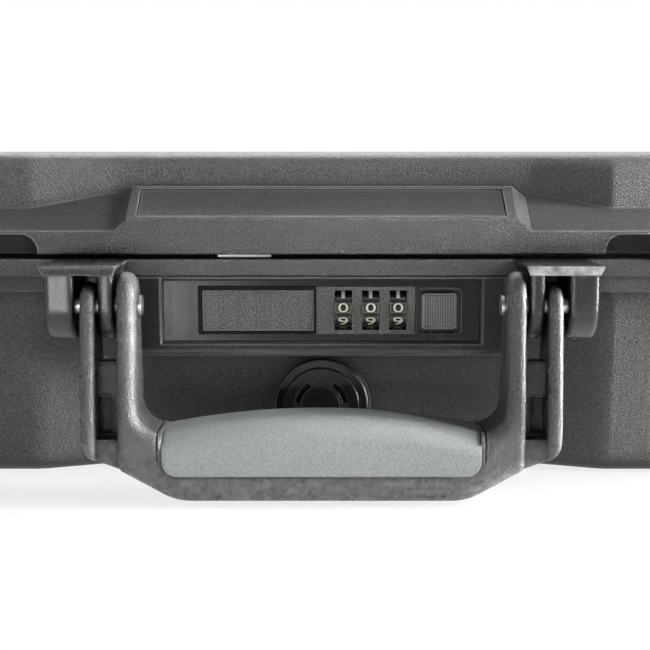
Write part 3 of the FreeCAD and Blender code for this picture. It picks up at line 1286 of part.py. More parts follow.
# Leaf spring behind the wheels: one strip on the floor of the works with a leaf per wheel.
detent_strip = block(
    "detent strip", f"{wheel_places[0]} - detent_width", f"{wheel_places[2]} + detent_width",
    "detent_y", "detent_y + detent_thick", "works_low", "works_low + detent_foot")
detent_leaves = [
    block("detent leaf", f"{x} - detent_width / 2", f"{x} + detent_width / 2", "detent_y",
          "detent_y + detent_thick", "works_low", "works_low + detent_reach")
    for x in wheel_places]
detent_spring = node("detent_spring", join("detent_spring", detent_strip, *detent_leaves))

# Release button: a square cap, a collar that keeps it behind the face plate, a stem.
button_right = "button_left + button_width"
button_high = "button_low + button_height"
cap = prism("button cap", "XZ", "plate_front - button_proud",
            "button_proud + plate_thick + seat_gap + collar_thick",
            rectangle("button_left", button_right, "button_low", button_high))
soften(cap, "button_corner", lambda point: (
    near(point.x, "button_left") or near(point.x, button_right)) and (
    near(point.z, "button_low") or near(point.z, button_high)))
lap = "(button_margin + collar_lap)"
collar = block("button collar", f"button_left - {lap}", f"{button_right} + {lap}",
               "plate_back + seat_gap", "plate_back + seat_gap + collar_thick",
               f"button_low - {lap}", f"{button_high} + {lap}")
stem = block("button stem", "button_middle - stem_half", "button_middle + stem_half",
             "plate_back + seat_gap + collar_thick", "slide_y", "button_mid_z - stem_half",
             "button_mid_z + stem_half")
release_button = node("release_button", join("release_button", cap, collar, stem))

# Release slide: a strip behind the wheels that the button pushes. Its claw reaches
# under the bar of the strike, and three teeth face the notches of the cams.
slide_strip = block("slide strip", "claw_x - claw_half", "button_middle + slide_end", "slide_y",
                    "slide_back", "slide_low", "claw_top")
claw = block("claw", "claw_x - claw_half", "claw_x + claw_half", "strike_y - claw_past", "slide_y",
             "claw_top - claw_thick", "claw_top")
teeth = [
    block("slide tooth", f"{x} - wheel_width / 2 - cam_width / 2 - fence_half",
          f"{x} - wheel_width / 2 - cam_width / 2 + fence_half",
          "wheel_y + cam_radius + fence_gap", "slide_y", "wheel_height - fence_half",
          "wheel_height + fence_half")
    for x in wheel_places]
release_slide = node("release_slide", join("release_slide", slide_strip, claw, *teeth))

# Return spring: a bowed leaf between the slide and the cover.
spring_x = wheel_places[1]
slide_spring = node("slide_spring", prism(
    "slide_spring", "XY", "(slide_low + claw_top - spring_height) / 2", "spring_height", [
        (f"{spring_x} - spring_half", "works_end - spring_thick"),
        (spring_x, "slide_back + seat_gap"),
        (f"{spring_x} + spring_half", "works_end - spring_thick"),
        (f"{spring_x} + spring_half", "works_end"),
        (spring_x, "slide_back + seat_gap + spring_thick"),
        (f"{spring_x} - spring_half", "works_end")]))

# Strike: bent steel under the lid's rim, with a window whose lower bar the claw catches.
strike_leg = block("strike leg", "claw_x - strike_half", "claw_x + strike_half", "strike_y",
                   "strike_y + strike_thick", "strike_low", "lid_low")
strike_foot = block("strike foot", "claw_x - strike_half", "claw_x + strike_half",
                    "strike_y + strike_thick - strike_flange - strike_thick", "strike_y + strike_thick",
                    "lid_low - strike_thick", "lid_low")
strike_opening = block("strike window", "claw_x - strike_window", "claw_x + strike_window",
                       "strike_y - 1", "strike_y + strike_thick + 1", "strike_low + strike_lip",
                       "strike_low + strike_lip + strike_window_height")
strike_sinks = [
    rod("strike screw seat", "Z", "strike_screw_head", "strike_thick", x, y, "lid_low - strike_thick")
    for x, y in strike_points]
lid_strike = node("lid_strike", cut("lid_strike", join("strike bent", strike_leg, strike_foot),
                                    strike_opening, *strike_sinks))
strike_screws = node("strike_screws", group("strike_screws", *[
    join("strike screw",
         rod("strike screw shank", "Z", "strike_screw_radius", "strike_screw_length", x, y,
             "lid_low - strike_thick"),
         rod("strike screw head", "Z", "strike_screw_head", "strike_thick", x, y,
             "lid_low - strike_thick"))
    for x, y in strike_points]))

# Pressure valve: a flanged body through the wall, a seal under the flange, a nut
# inside, and a slotted cap in front of the membrane.
valve_end = "nut_seat + valve_nut_thick - valve_front"
cap_room = "valve_cap_radius + valve_cap_gap"
floor_in = "valve_floor - valve_front"
valve_body = node("valve_body", spun("valve_body", [
    ("0", cap_room), (floor_in, cap_room), (floor_in, "valve_bore"), (valve_end, "valve_bore"),
    (valve_end, "valve_stem"), ("valve_flange", "valve_stem"),
    ("valve_flange", "seal_radius - seal_width"),
    ("valve_flange - seal_depth", "seal_radius - seal_width"),
    ("valve_flange - seal_depth", "seal_radius"), ("valve_flange", "seal_radius"),
    ("valve_flange", "valve_radius"), ("valve_edge", "valve_radius"),
    ("0", "valve_radius - valve_edge")],
    "0", "valve_front", "valve_height", "Y"))
valve_cap = prism("valve_cap", "XZ", "valve_front - valve_cap_proud", "valve_cap_thick",
                  ("circle", "0", "valve_height", "valve_cap_radius"))
soften(valve_cap, "valve_edge", lambda point: near(point.y, "valve_front - valve_cap_proud"))


def arc_slot(start, end):
    """A curved slot in the cap, given by the angles of its two ends."""
    low, high = "(valve_hub + valve_groove)", "(valve_hub + valve_groove + valve_slot)"

    def point(radius, angle):
        return f"{radius} * cos({angle})", f"valve_height + {radius} * sin({angle})"
    return [
        point(high, start),
        ("arc", "0", "valve_height", *point(high, end)), point(low, end),
        ("hollow", "0", "valve_height", *point(low, start))]


pocket(valve_cap, "XZ", "valve_front - valve_cap_proud", "valve_groove",
       ("circle", "0", "valve_height", "valve_hub"),
       ("circle", "0", "valve_height", "valve_hub - valve_groove"))
pocket(valve_cap, "XZ", "valve_front - valve_cap_proud", "valve_cap_thick", *[
    arc_slot(start, end) for turn in ("0", "180") for start, end in (
        (f"{turn} + valve_slot_start", f"{turn} + valve_slot_end"),
        (f"{turn} + 180 - valve_slot_end", f"{turn} + 180 - valve_slot_start"))])
node("valve_cap", valve_cap)
valve_membrane = node("valve_membrane", rod(
    "valve_membrane", "Y", "valve_bore - seat_gap", "membrane_thick", "0", "valve_floor",
    "valve_height"))
seal_back = "valve_y - seal_depth"
valve_seal = node("valve_seal", cut(
    "valve_seal",
    rod("seal outside", "Y", "seal_radius - seat_gap", "seal_depth", "0", seal_back, "valve_height"),
    rod("seal inside", "Y", "seal_radius - seal_width + seat_gap", "seal_depth", "0", seal_back,
        "valve_height")))
hexagon = [(f"valve_nut * cos({angle})", f"valve_height + valve_nut * sin({angle})")
           for angle in range(0, 360, 60)]
valve_nut = node("valve_nut", prism("valve_nut", "XZ", "nut_seat", "valve_nut_thick", hexagon,
                                    ("circle", "0", "valve_height", "valve_stem + seat_gap")))

# Side latches: each hangs from a lug of the lid on a pin, with a hook that swings in
# under the rim of the base and a pull tab below it.
hook_low = "latch_z - latch_nose_drop - latch_nose"
latch_plate = prism("latch plate", "YZ", "latch_x - latch_half", "2 * latch_half", [
    ("latch_y - latch_front", "latch_z"),
    ("latch_y - latch_front", f"{hook_low} + latch_tab_flare"),
    ("latch_y - latch_front - latch_tab_flare", "latch_z - latch_tab_drop"),
    ("latch_y - latch_front - latch_tab_flare + latch_tab_thick", "latch_z - latch_tab_drop"),
    ("latch_y + latch_back", hook_low),
    ("latch_y + latch_nose_reach", f"{hook_low} + latch_nose / 2"),
    ("latch_y + latch_nose_reach", "latch_z - latch_nose_drop"),
    ("latch_y + latch_back", "latch_z - latch_nose_drop"),
    ("latch_y + latch_back", "latch_z")])
soften(latch_plate, "latch_round", lambda point: near(point.z, "latch_z - latch_tab_drop") and near(
    abs(point.x - number("latch_x")), "latch_half"))
latch_barrel = rod("latch barrel", "X", "latch_barrel", "2 * latch_half", "latch_x - latch_half",
                   "latch_y", "latch_z")
latch_opening = block(
    "latch opening", "latch_x - latch_half + latch_ear", "latch_x + latch_half - latch_ear",
    "latch_y - latch_barrel - latch_tab_flare", "front", "latch_z - latch_barrel - latch_play",
    "latch_z + latch_barrel + 1")
latch_right = node("latch_right", cut("latch_right", join("latch whole", latch_plate, latch_barrel),
                                      latch_opening, latch_bore))
latch_left = node("latch_left", mirrored("latch_left", latch_right))
latch_pin_right = node("latch_pin_right", rod(
    "latch_pin_right", "X", "latch_pin_radius", "2 * latch_half", "latch_x - latch_half", "latch_y",
    "latch_z"))
latch_pin_left = node("latch_pin_left", mirrored("latch_pin_left", latch_pin_right))

document.recompute()
for thing in document.Objects:
    if "Invalid" in thing.State or "Error" in thing.State:
        raise RuntimeError(f"{thing.Label} did not build: {thing.State}")
os.makedirs("parts", exist_ok=True)
for piece in nodes:
    shape = piece.Shape
    if shape.isNull() or not shape.isValid() or not shape.Solids:
        raise RuntimeError(f"{piece.Label} has no valid shape")
for piece in nodes:
    piece.Shape.exportStep(f"parts/{piece.Label}.step")
    print(piece.Label, len(piece.Shape.Solids), "solid(s)", round(piece.Shape.Volume), "mm3")
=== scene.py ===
import math

import bmesh
import bpy
from mathutils import Matrix, Vector


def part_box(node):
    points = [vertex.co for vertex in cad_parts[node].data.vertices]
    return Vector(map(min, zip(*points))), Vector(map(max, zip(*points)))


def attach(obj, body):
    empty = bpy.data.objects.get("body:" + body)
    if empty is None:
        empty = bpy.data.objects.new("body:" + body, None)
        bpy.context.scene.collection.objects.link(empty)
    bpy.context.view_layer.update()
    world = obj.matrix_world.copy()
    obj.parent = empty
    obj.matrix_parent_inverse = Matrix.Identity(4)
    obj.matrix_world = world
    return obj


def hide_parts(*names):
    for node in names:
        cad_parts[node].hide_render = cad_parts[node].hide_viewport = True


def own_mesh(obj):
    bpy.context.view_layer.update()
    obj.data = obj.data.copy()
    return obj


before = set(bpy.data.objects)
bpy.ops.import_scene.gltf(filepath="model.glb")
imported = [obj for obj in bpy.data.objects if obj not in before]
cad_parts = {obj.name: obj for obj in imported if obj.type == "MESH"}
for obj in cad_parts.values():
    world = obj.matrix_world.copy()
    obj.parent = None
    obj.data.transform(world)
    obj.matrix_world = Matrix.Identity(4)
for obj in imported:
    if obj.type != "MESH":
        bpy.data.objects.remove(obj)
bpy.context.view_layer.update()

# Base shell: the lower half of the case, one thick polypropylene moulding with a fine
# spark-eroded grain. Its rim, its hinge knuckles and its seats for the lock, the valve
# and the handle brackets are moulded with it.


class Wire:
    """A value inside a node tree. Sums and products of wires add their own nodes."""

    def __init__(self, nodes, socket):
        self.nodes = nodes
        self.socket = socket

    def maths(self, operation, first, second):
        return self.nodes.add("ShaderNodeMath", {"operation": operation}, {0: first, 1: second})

    def __add__(self, other):
        return self.maths("ADD", self, other)

    def __sub__(self, other):
        return self.maths("SUBTRACT", self, other)

    def __rsub__(self, other):
        return self.maths("SUBTRACT", other, self)

    def __mul__(self, other):
        return self.maths("MULTIPLY", self, other)

    __radd__ = __add__
    __rmul__ = __mul__


class Nodes:
    """A node tree, with one way to add a node to it."""

    def __init__(self, tree):
        self.tree = tree

    def fill(self, node, sockets):
        for key, value in sockets.items():
            if isinstance(value, Wire):
                self.tree.links.new(value.socket, node.inputs[key])
            else:
                node.inputs[key].default_value = value

    def add(self, kind, settings=None, sockets=None, output=0):
        node = self.tree.nodes.new(kind)
        for key, value in (settings or {}).items():
            setattr(node, key, value)
        self.fill(node, sockets or {})
        return Wire(self, node.outputs[output]) if node.outputs else None

    def spread(self, value, low, high, least=0.0, most=1.0):
        """A value stretched so that low gives the least and high gives the most."""
        return self.add("ShaderNodeMapRange", sockets={
            "Value": value, "From Min": low, "From Max": high, "To Min": least, "To Max": most})


EDGE_RAYS = 6
FLAT_MATCH = 0.985
TURNED_MATCH = 0.80


class Finish(Nodes):
    """One surface finish: a Principled shader and the nodes that feed it."""

    def __init__(self, name, **constants):
        self.material = bpy.data.materials.new(name)
        self.material.use_nodes = True
        super().__init__(self.material.node_tree)
        self.shader = self.tree.nodes["Principled BSDF"]
        self.place = self.add("ShaderNodeTexCoord", output="Object")
        self.set(**constants)

    def set(self, **sockets):
        named = {key.replace("_", " ").title(): value for key, value in sockets.items()}
        self.fill(self.shader, {key.replace("Ior", "IOR"): value for key, value in named.items()})

    def along(self, axis):
        """How far a point lies along one axis of the case, in metres."""
        return self.add("ShaderNodeSeparateXYZ", sockets={0: self.place}, output=axis)

    def noise(self, scale, detail=2.0, stretch=None):
        """Cloudy variation, with so many clouds to the metre."""
        place = self.place
        if stretch:
            place = self.add("ShaderNodeMapping", sockets={"Vector": place, "Scale": stretch})
        return self.add("ShaderNodeTexNoise", sockets={
            "Vector": place, "Scale": scale, "Detail": detail})

    def tone(self, factor, dark, light, low=0.3, high=0.7):
        """A colour between two shades."""
        return self.add("ShaderNodeMix", {"data_type": "RGBA"}, {
            0: self.spread(factor, low, high), 6: (*dark, 1.0), 7: (*light, 1.0)}, output=2)

    def shade(self, first, second, factor):
        """The first colour with some of the second over it."""
        return self.add("ShaderNodeMix", {"data_type": "RGBA"}, {
            0: factor, 6: first, 7: (*second, 1.0)}, output=2)

    def relief(self, height, depth, edge):
        """Surface relief of a given depth, over edges worn to a small radius."""
        edge_wear_and_sheen = self.add("ShaderNodeBevel", {"samples": EDGE_RAYS}, {"Radius": edge})
        return self.add("ShaderNodeBump", sockets={
            "Strength": 1.0, "Distance": depth, "Height": height, "Normal": edge_wear_and_sheen})

    def openness(self, reach):
        """One on open faces, less in corners and grooves."""
        return self.add("ShaderNodeAmbientOcclusion", {"samples": EDGE_RAYS},
                        {"Distance": reach}, output="AO")

    def edges(self, radius):
        """One along edges, nothing on flat faces."""
        turned = self.add("ShaderNodeBevel", {"samples": EDGE_RAYS}, {"Radius": radius})
        face = self.add("ShaderNodeNewGeometry", output="Normal")
        match = self.add("ShaderNodeVectorMath", {"operation": "DOT_PRODUCT"},
                         {0: turned, 1: face}, output="Value")
        return self.spread(match, FLAT_MATCH, TURNED_MATCH)

    def on(self, *nodes):
        """Give this finish to pieces that come from the solid model."""
        for node in nodes:
            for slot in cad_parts[node].material_slots:
                slot.material = self.material


CLOUD_SCALE = 16.0
RUB_SCALE = (520.0, 520.0, 14.0)
CORNER_REACH = 0.007
WORN_EDGE_AND_SHEEN_TONE = (0.32, 0.32, 0.31)
CORNER_SHADE_TONE = (0.002, 0.002, 0.002)


def moulded(name, dark, light, grain_size, grain_depth, rough, edge, shine=0.5, wear_and_sheen=1.0, rub=0.1,
            wear_and_sheen_radius=0.0013):
    """Grained plastic, clouds, rub marks, light edges (worn, partly painted highlight) and painted
    corner shade.
    """
    finish = Finish(name, specular_ior_level=shine)
    grain = finish.noise(1.0 / grain_size, 3.0)
    clouds = finish.noise(CLOUD_SCALE, 4.0)
    rubs = finish.noise(1.0, 3.0, stretch=RUB_SCALE)
    open_face = finish.openness(CORNER_REACH)
    # Light edges: partly wear, partly a painted highlight along the open edges.
    edge_wear_and_sheen = finish.edges(wear_and_sheen_radius) * finish.spread(open_face, 0.45, 0.8)
    edge_wear_and_sheen = edge_wear_and_sheen * finish.spread(clouds + grain * 0.4, 0.35, 0.7) * wear_and_sheen
    # Painted shade: corners and grooves are darkened almost to black.
    corner_shade = finish.spread(open_face, 0.92, 0.4) * 0.92
    mixed = grain * (0.85 - rub) + clouds * 0.15 + rubs * rub
    colour = finish.tone(mixed, dark, light, 0.39, 0.61)
    colour = finish.shade(colour, WORN_EDGE_AND_SHEEN_TONE, edge_wear_and_sheen)
    finish.colour = finish.shade(colour, CORNER_SHADE_TONE, corner_shade)
    finish.set(
        base_color=finish.colour,
        roughness=rough + (clouds - 0.5) * 0.2 + (rubs - 0.5) * 0.12 - edge_wear_and_sheen * 0.1,
        normal=finish.relief(grain, grain_depth, edge))
    return finish


base_finish = moulded(
    "base_grain", dark=(0.027, 0.028, 0.0255), light=(0.114, 0.115, 0.106),
    grain_size=0.0005, grain_depth=0.0006, rough=0.42, edge=0.0007, rub=0.08)
base_finish.on("base_shell")

# Lid shell: the upper half, moulded in the same plastic, with the raised boss on its
# front shoulder and a pocket at each side for a latch. It turns on two pins at the rear.
lid_finish = moulded(
    "lid_grain", dark=(0.020, 0.020, 0.020), light=(0.087, 0.087, 0.084),
    grain_size=0.0005, grain_depth=0.0008, rough=0.42, edge=0.0007, rub=0.05)
lid_finish.on("lid_shell")

# Name plate: a thin blank insert of smoother satin plastic. It is punched from sheet and
# glued into the shallow seat on the boss.
plate_finish = moulded(
    "name_plate_satin", dark=(0.020, 0.020, 0.020), light=(0.058, 0.058, 0.057),
    grain_size=0.0006, grain_depth=0.0003, rough=0.34, edge=0.0004)
plate_finish.on("lid_name_plate")

# Gasket and valve seal: soft black rubber rings with a dull skin. The gasket is laid into
# the lid's groove, and the seal sits under the flange of the valve.
seal_finish = moulded(
    "seal_rubber", dark=(0.012, 0.012, 0.012), light=(0.03, 0.03, 0.03),
    grain_size=0.0015, grain_depth=0.00005, rough=0.75, edge=0.0004, wear_and_sheen=0.0)
seal_finish.on("lid_gasket", "valve_seal")

# Steel pieces: turned pins and screws, the shaft of the wheels, rolled springs and the
# stamped slide, all bare drawn steel. The strike is bent from duller sheet and screwed
# to the lid.
DULL_SHARE = 0.72
DRAWING_SCALE = (180.0, 2600.0, 2600.0)


def drawn_steel(name, tint):
    """Bare metal with fine drawing lines and a few dull patches."""
    finish = Finish(name, metallic=1.0)
    lines = finish.noise(1.0, 3.0, stretch=DRAWING_SCALE)
    dull = finish.noise(160.0, 4.0)
    finish.set(
        base_color=finish.tone(dull, tuple(DULL_SHARE * part for part in tint), tint),
        roughness=0.2 + dull * 0.16 + lines * 0.08,
        normal=finish.relief(lines, depth=0.00002, edge=0.0003))
    return finish


steel_finish = drawn_steel("drawn_steel", (0.72, 0.71, 0.69))
steel_finish.on(
    "hinge_pin_left", "hinge_pin_right", "handle_pin_left", "handle_pin_right", "bracket_screws",
    "housing_screws", "cover_screws", "strike_screws", "dial_shaft", "detent_spring",
    "slide_spring", "release_slide", "latch_pin_left", "latch_pin_right")
strike_finish = drawn_steel("dull_steel", (0.30, 0.275, 0.265))
strike_finish.on("lid_strike")

# Lock housing and its rear cover: black satin mouldings, screwed to the front wall from
# inside. The lower lip of the housing carries a painted highlight, broken into streaks.
housing_finish = moulded(
    "housing_satin", dark=(0.008, 0.008, 0.008), light=(0.025, 0.025, 0.024),
    grain_size=0.0005, grain_depth=0.0003, rough=0.34, edge=0.0006, shine=0.36, wear_and_sheen=1.3)
LIP_START = 0.0033
LIP_FULL = 0.0021
LIP_HIGHLIGHT_TONE = (0.20, 0.20, 0.19)
low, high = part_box("lock_housing")
# Painted highlight: a light band along the rounded lower lip.
lip_highlight = housing_finish.spread(housing_finish.along("Z"), low.z + LIP_START, low.z + LIP_FULL)
streaks = housing_finish.noise(1.0, 3.0, stretch=(40.0, 400.0, 400.0))
lip_highlight = lip_highlight * housing_finish.spread(streaks, 0.3, 0.7) * 0.6
housing_finish.set(base_color=housing_finish.shade(housing_finish.colour, LIP_HIGHLIGHT_TONE, lip_highlight))
housing_finish.on("lock_housing", "lock_cover")

# Lock face: a smooth black plate, with a grained dial panel snapped into it. The left end
# of that panel is a frame, and a blank grained panel is pressed into the frame. The frame is
# painted near black, a painted shade standing in for a deep groove round the blank panel.
face_finish = moulded(
    "lock_face", dark=(0.003, 0.003, 0.003), light=(0.009, 0.009, 0.008),
    grain_size=0.0006, grain_depth=0.00004, rough=0.24, edge=0.0004,
    shine=0.32, rub=0.35, wear_and_sheen_radius=0.0006)
face_finish.on("lock_plate")
panel_finish = moulded(
    "dial_panel_grain", dark=(0.042, 0.042, 0.041), light=(0.182, 0.182, 0.174),
    grain_size=0.0005, grain_depth=0.0006, rough=0.42, edge=0.0004, shine=0.2, wear_and_sheen_radius=0.0006)
FRAME_START = 0.0011
FRAME_FULL = 0.0007
GROOVE_SHADE_TONE = (0.003, 0.003, 0.003)
low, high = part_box("blank_panel")
# Painted shade: the frame round the blank panel is near black, as if in a deep groove.
groove_shade = panel_finish.spread(panel_finish.along("X"), high.x + FRAME_START, high.x + FRAME_FULL)
panel_finish.set(base_color=panel_finish.shade(panel_finish.colour, GROOVE_SHADE_TONE, groove_shade * 0.95))
panel_finish.on("dial_panel")
blank_finish = moulded(
    "blank_panel_grain", dark=(0.040, 0.040, 0.038), light=(0.245, 0.245, 0.232),
    grain_size=0.0005, grain_depth=0.0008, rough=0.5, edge=0.0006,
    shine=0.3, wear_and_sheen=1.5, wear_and_sheen_radius=0.0009)
blank_finish.on("blank_panel")

# Release button: a square plastic cap that slides in the lock plate. Its face has fine
# upright ribs for the thumb, moulded with the cap.
button_finish = moulded(
    "button_cap", dark=(0.038, 0.038, 0.038), light=(0.102, 0.102, 0.098),
    grain_size=0.0005, grain_depth=0.0001, rough=0.3, edge=0.0006, wear_and_sheen=1.5, rub=0.4)
button_finish.on("release_button")


class Repeat(Nodes):
    """A repeated shape: a Geometry Nodes tree with named sizes, made into one plain piece."""

    def __init__(self, name, **sizes):
        super().__init__(bpy.data.node_groups.new(name, "GeometryNodeTree"))
        self.tree.interface.new_socket("Places", in_out="INPUT", socket_type="NodeSocketGeometry")
        self.tree.interface.new_socket("Pieces", in_out="OUTPUT", socket_type="NodeSocketGeometry")
        self.sizes = {}
        for label, value in sizes.items():
            kind = "NodeSocketInt" if isinstance(value, int) else "NodeSocketFloat"
            socket = self.tree.interface.new_socket(label, in_out="INPUT", socket_type=kind)
            self.sizes[socket.identifier] = value

    def size(self, label):
        return self.add("NodeGroupInput", output=label)

    def vector(self, x, y, z):
        return self.add("ShaderNodeCombineXYZ", sockets={0: x, 1: y, 2: z})

    def made(self, pieces, finish, places=()):
        """The pieces at their places, as a plain mesh with no modifier left on it."""
        solid = self.add("GeometryNodeRealizeInstances", sockets={0: pieces})
        finished = self.add("GeometryNodeSetMaterial", sockets={
            "Geometry": solid, "Material": finish.material})
        self.add("NodeGroupOutput", sockets={0: finished})
        mesh = bpy.data.meshes.new(self.tree.name)
        mesh.from_pydata(places, [], [])
        piece = bpy.data.objects.new(self.tree.name, mesh)
        bpy.context.scene.collection.objects.link(piece)
        modifier = piece.modifiers.new("repeat", "NODES")
        modifier.node_group = self.tree
        for identifier, value in self.sizes.items():
            modifier[identifier] = value
        ready = piece.evaluated_get(bpy.context.evaluated_depsgraph_get())
        piece.data = bpy.data.meshes.new_from_object(ready)
        piece.modifiers.remove(modifier)
        return piece


RIB_SINK = 0.00018
RIB_SIDES = 12
low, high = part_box("release_button")
middle = (low + high) / 2
button_ribs = Repeat("button_ribs", Count=13, Pitch=0.0009, Radius=0.0003, Length=0.0106)
half = button_ribs.size("Length") * 0.5
rib_line = button_ribs.add("GeometryNodeCurvePrimitiveLine", sockets={
    "Start": button_ribs.vector(0.0, 0.0, 0.0 - half), "End": button_ribs.vector(0.0, 0.0, half)})
rib_round = button_ribs.add("GeometryNodeCurvePrimitiveCircle", sockets={
    "Resolution": RIB_SIDES, "Radius": button_ribs.size("Radius")})
rib = button_ribs.add("GeometryNodeCurveToMesh", sockets={
    "Curve": rib_line, "Profile Curve": rib_round, "Fill Caps": True})
first_rib = (button_ribs.size("Count") - 1.0) * button_ribs.size("Pitch") * -0.5 + middle.x
rib_row = button_ribs.add("GeometryNodeMeshLine", sockets={
    "Count": button_ribs.size("Count"),
    "Start Location": button_ribs.vector(first_rib, low.y + RIB_SINK, middle.z),
    "Offset": button_ribs.vector(button_ribs.size("Pitch"), 0.0, 0.0)})
rib_set = button_ribs.add("GeometryNodeInstanceOnPoints", sockets={"Points": rib_row, "Instance": rib})
ribs = button_ribs.made(rib_set, button_finish)
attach(ribs, "button")

# Screw heads: steel pan heads with a crosswise recess, six large ones for the brackets and
# the housing and four small ones for the cover. They are driven in from inside the case,
# and each one stops at its own turn.
HEAD_LEVEL = 0.0001
HEAD_REACH = 0.008
HEAD_SIDES = 32
DOME_SHARE = 0.09
RIM_SHARE = 0.93
RECESS_INNER = 0.16
RECESS_OUTER = 0.56


def head_tops(node):
    """The places of a node's screw heads and their radius, from the faces that look inward."""
    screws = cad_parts[node]
    points = [screws.matrix_world @ vert.co for vert in screws.data.vertices]
    top = max(point.y for point in points)
    heads = []
    for point in points:
        if point.y > top - HEAD_LEVEL:
            near = [head for head in heads if (head[0] - point).length < HEAD_REACH]
            if near:
                near[0].append(point)
            else:
                heads.append([point])
    places = []
    for head in heads:
        left = min(point.x for point in head)
        right = max(point.x for point in head)
        height = (min(point.z for point in head) + max(point.z for point in head)) / 2
        places.append(((left + right) / 2, top, height))
    return places, (right - left) / 2


def crossed_heads(name, *nodes):
    """The tops of a set of equal screw heads, each with a four-pointed recess in it."""
    places = []
    for node in nodes:
        found, radius = head_tops(node)
        places = places + found
    heads = Repeat(name, Radius=radius, Height=radius * DOME_SHARE, Seed=4)
    rim = heads.add("GeometryNodeCurvePrimitiveCircle", sockets={
        "Resolution": HEAD_SIDES, "Radius": heads.size("Radius") * RIM_SHARE})
    recess = heads.add("GeometryNodeCurveStar", sockets={
        "Points": 4, "Inner Radius": heads.size("Radius") * RECESS_INNER,
        "Outer Radius": heads.size("Radius") * RECESS_OUTER})
    both = heads.add("GeometryNodeJoinGeometry")
    heads.tree.links.new(rim.socket, both.socket.node.inputs[0])
    heads.tree.links.new(recess.socket, both.socket.node.inputs[0])
    flat = heads.add("GeometryNodeFillCurve", sockets={0: both})
    top = heads.add("GeometryNodeExtrudeMesh", {"mode": "FACES"}, {
        "Mesh": flat, "Offset Scale": heads.size("Height"), "Individual": False})
    turn = heads.add("FunctionNodeRandomValue", {"data_type": "FLOAT"}, {
        2: 0.0, 3: math.pi, "Seed": heads.size("Seed")}, output=1)
    head_set = heads.add("GeometryNodeInstanceOnPoints", sockets={
        "Points": heads.size("Places"), "Instance": top,
        "Rotation": heads.vector(math.radians(-90.0), turn, 0.0)})
    piece = heads.made(head_set, steel_finish, places)
    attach(piece, "base")


crossed_heads("crossed_heads_large", "bracket_screws", "housing_screws")
crossed_heads("crossed_heads_small", "cover_screws")

# Number wheels: black mouldings with ten figures round the rim, filled with cream paint.
# They turn on one shaft, and a brass cam is pressed on each.
wheel_finish = moulded(
    "wheel_black", dark=(0.005, 0.005, 0.005), light=(0.016, 0.016, 0.016),
    grain_size=0.002, grain_depth=0.00002, rough=0.3, edge=0.0003)
wheel_finish.on("dial_wheel_1", "dial_wheel_2", "dial_wheel_3")
cam_finish = drawn_steel("cam_brass", (0.70, 0.52, 0.24))
cam_finish.on("dial_cam_1", "dial_cam_2", "dial_cam_3")
paint_finish = Finish("figure_paint", roughness=0.5)
paint_finish.set(base_color=paint_finish.tone(
    paint_finish.noise(900.0), dark=(0.66, 0.62, 0.48), light=(0.86, 0.83, 0.70)))
FIGURE_TURN = 36
FIGURE_TILT = 7.0
FIGURE_HEIGHT = 0.0033
FIGURE_WIDTH = 0.0036
NARROW_WIDTH = {"1": 0.0012}
PAINT_PROUD = 0.00006
PAINT_DEEP = 0.0002
FIGURE_CUTS = 10


def from_bmesh(name, shape, material):
    """A named piece from a finished shape, with its normals outward."""
    bmesh.ops.recalc_face_normals(shape, faces=shape.faces)
    mesh = bpy.data.meshes.new(name)
    shape.to_mesh(mesh)
    shape.free()
    mesh.materials.append(material)
    piece = bpy.data.objects.new(name, mesh)
    bpy.context.scene.collection.objects.link(piece)
    return piece


def figure_outline(figure):
    """The filled outline of one figure, one unit wide and high, cut so that it can be bent."""
    curve = bpy.data.curves.new("figure", "FONT")
    curve.body = figure
    curve.resolution_u = 6
    holder = bpy.data.objects.new("figure", curve)
    bpy.context.scene.collection.objects.link(holder)
    bpy.context.view_layer.update()
    flat = holder.to_mesh()
    shape = bmesh.new()
    shape.from_mesh(flat)
    holder.to_mesh_clear()
    bpy.data.objects.remove(holder)
    bpy.data.curves.remove(curve)
    bmesh.ops.remove_doubles(shape, verts=shape.verts, dist=1e-5)
    low = Vector([min(vert.co[axis] for vert in shape.verts) for axis in range(3)])
    high = Vector([max(vert.co[axis] for vert in shape.verts) for axis in range(3)])
    for vert in shape.verts:
        vert.co = Vector(((vert.co.x - (low.x + high.x) / 2) / (high.x - low.x),
                          (vert.co.y - (low.y + high.y) / 2) / (high.y - low.y), 0.0))
    for step in range(1, FIGURE_CUTS):
        bmesh.ops.bisect_plane(
            shape, geom=shape.verts[:] + shape.edges[:] + shape.faces[:],
            plane_co=(0, step / FIGURE_CUTS - 0.5, 0), plane_no=(0, 1, 0))
    return shape


figure_shapes = {}
for figure in "0123456789":
    figure_shapes[figure] = figure_outline(figure)
for wheel in (1, 2, 3):
    low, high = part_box(f"dial_wheel_{wheel}")
    middle = (low + high) / 2
    wheel_radius = (high.z - low.z) / 2
    joined = bmesh.new()
    for figure, outline in figure_shapes.items():
        shape = outline.copy()
        face = bmesh.ops.extrude_face_region(shape, geom=shape.faces[:])
        raised = {item for item in face["geom"] if isinstance(item, bmesh.types.BMVert)}
        width = NARROW_WIDTH.get(figure, FIGURE_WIDTH)
        start = math.radians(FIGURE_TILT + FIGURE_TURN * int(figure))
        for vert in shape.verts:
            radius = wheel_radius + (PAINT_PROUD if vert in raised else -PAINT_DEEP)
            turn = start + vert.co.y * FIGURE_HEIGHT / wheel_radius
            vert.co = Vector((middle.x + vert.co.x * width,
                              middle.y - radius * math.cos(turn),
                              middle.z + radius * math.sin(turn)))
        scratch = bpy.data.meshes.new("scratch")
        shape.to_mesh(scratch)
        joined.from_mesh(scratch)
        shape.free()
        bpy.data.meshes.remove(scratch)
    figures = from_bmesh(f"figures_{wheel}", joined, paint_finish.material)
    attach(figures, f"dial_{wheel}")
for outline in figure_shapes.values():
    outline.free()
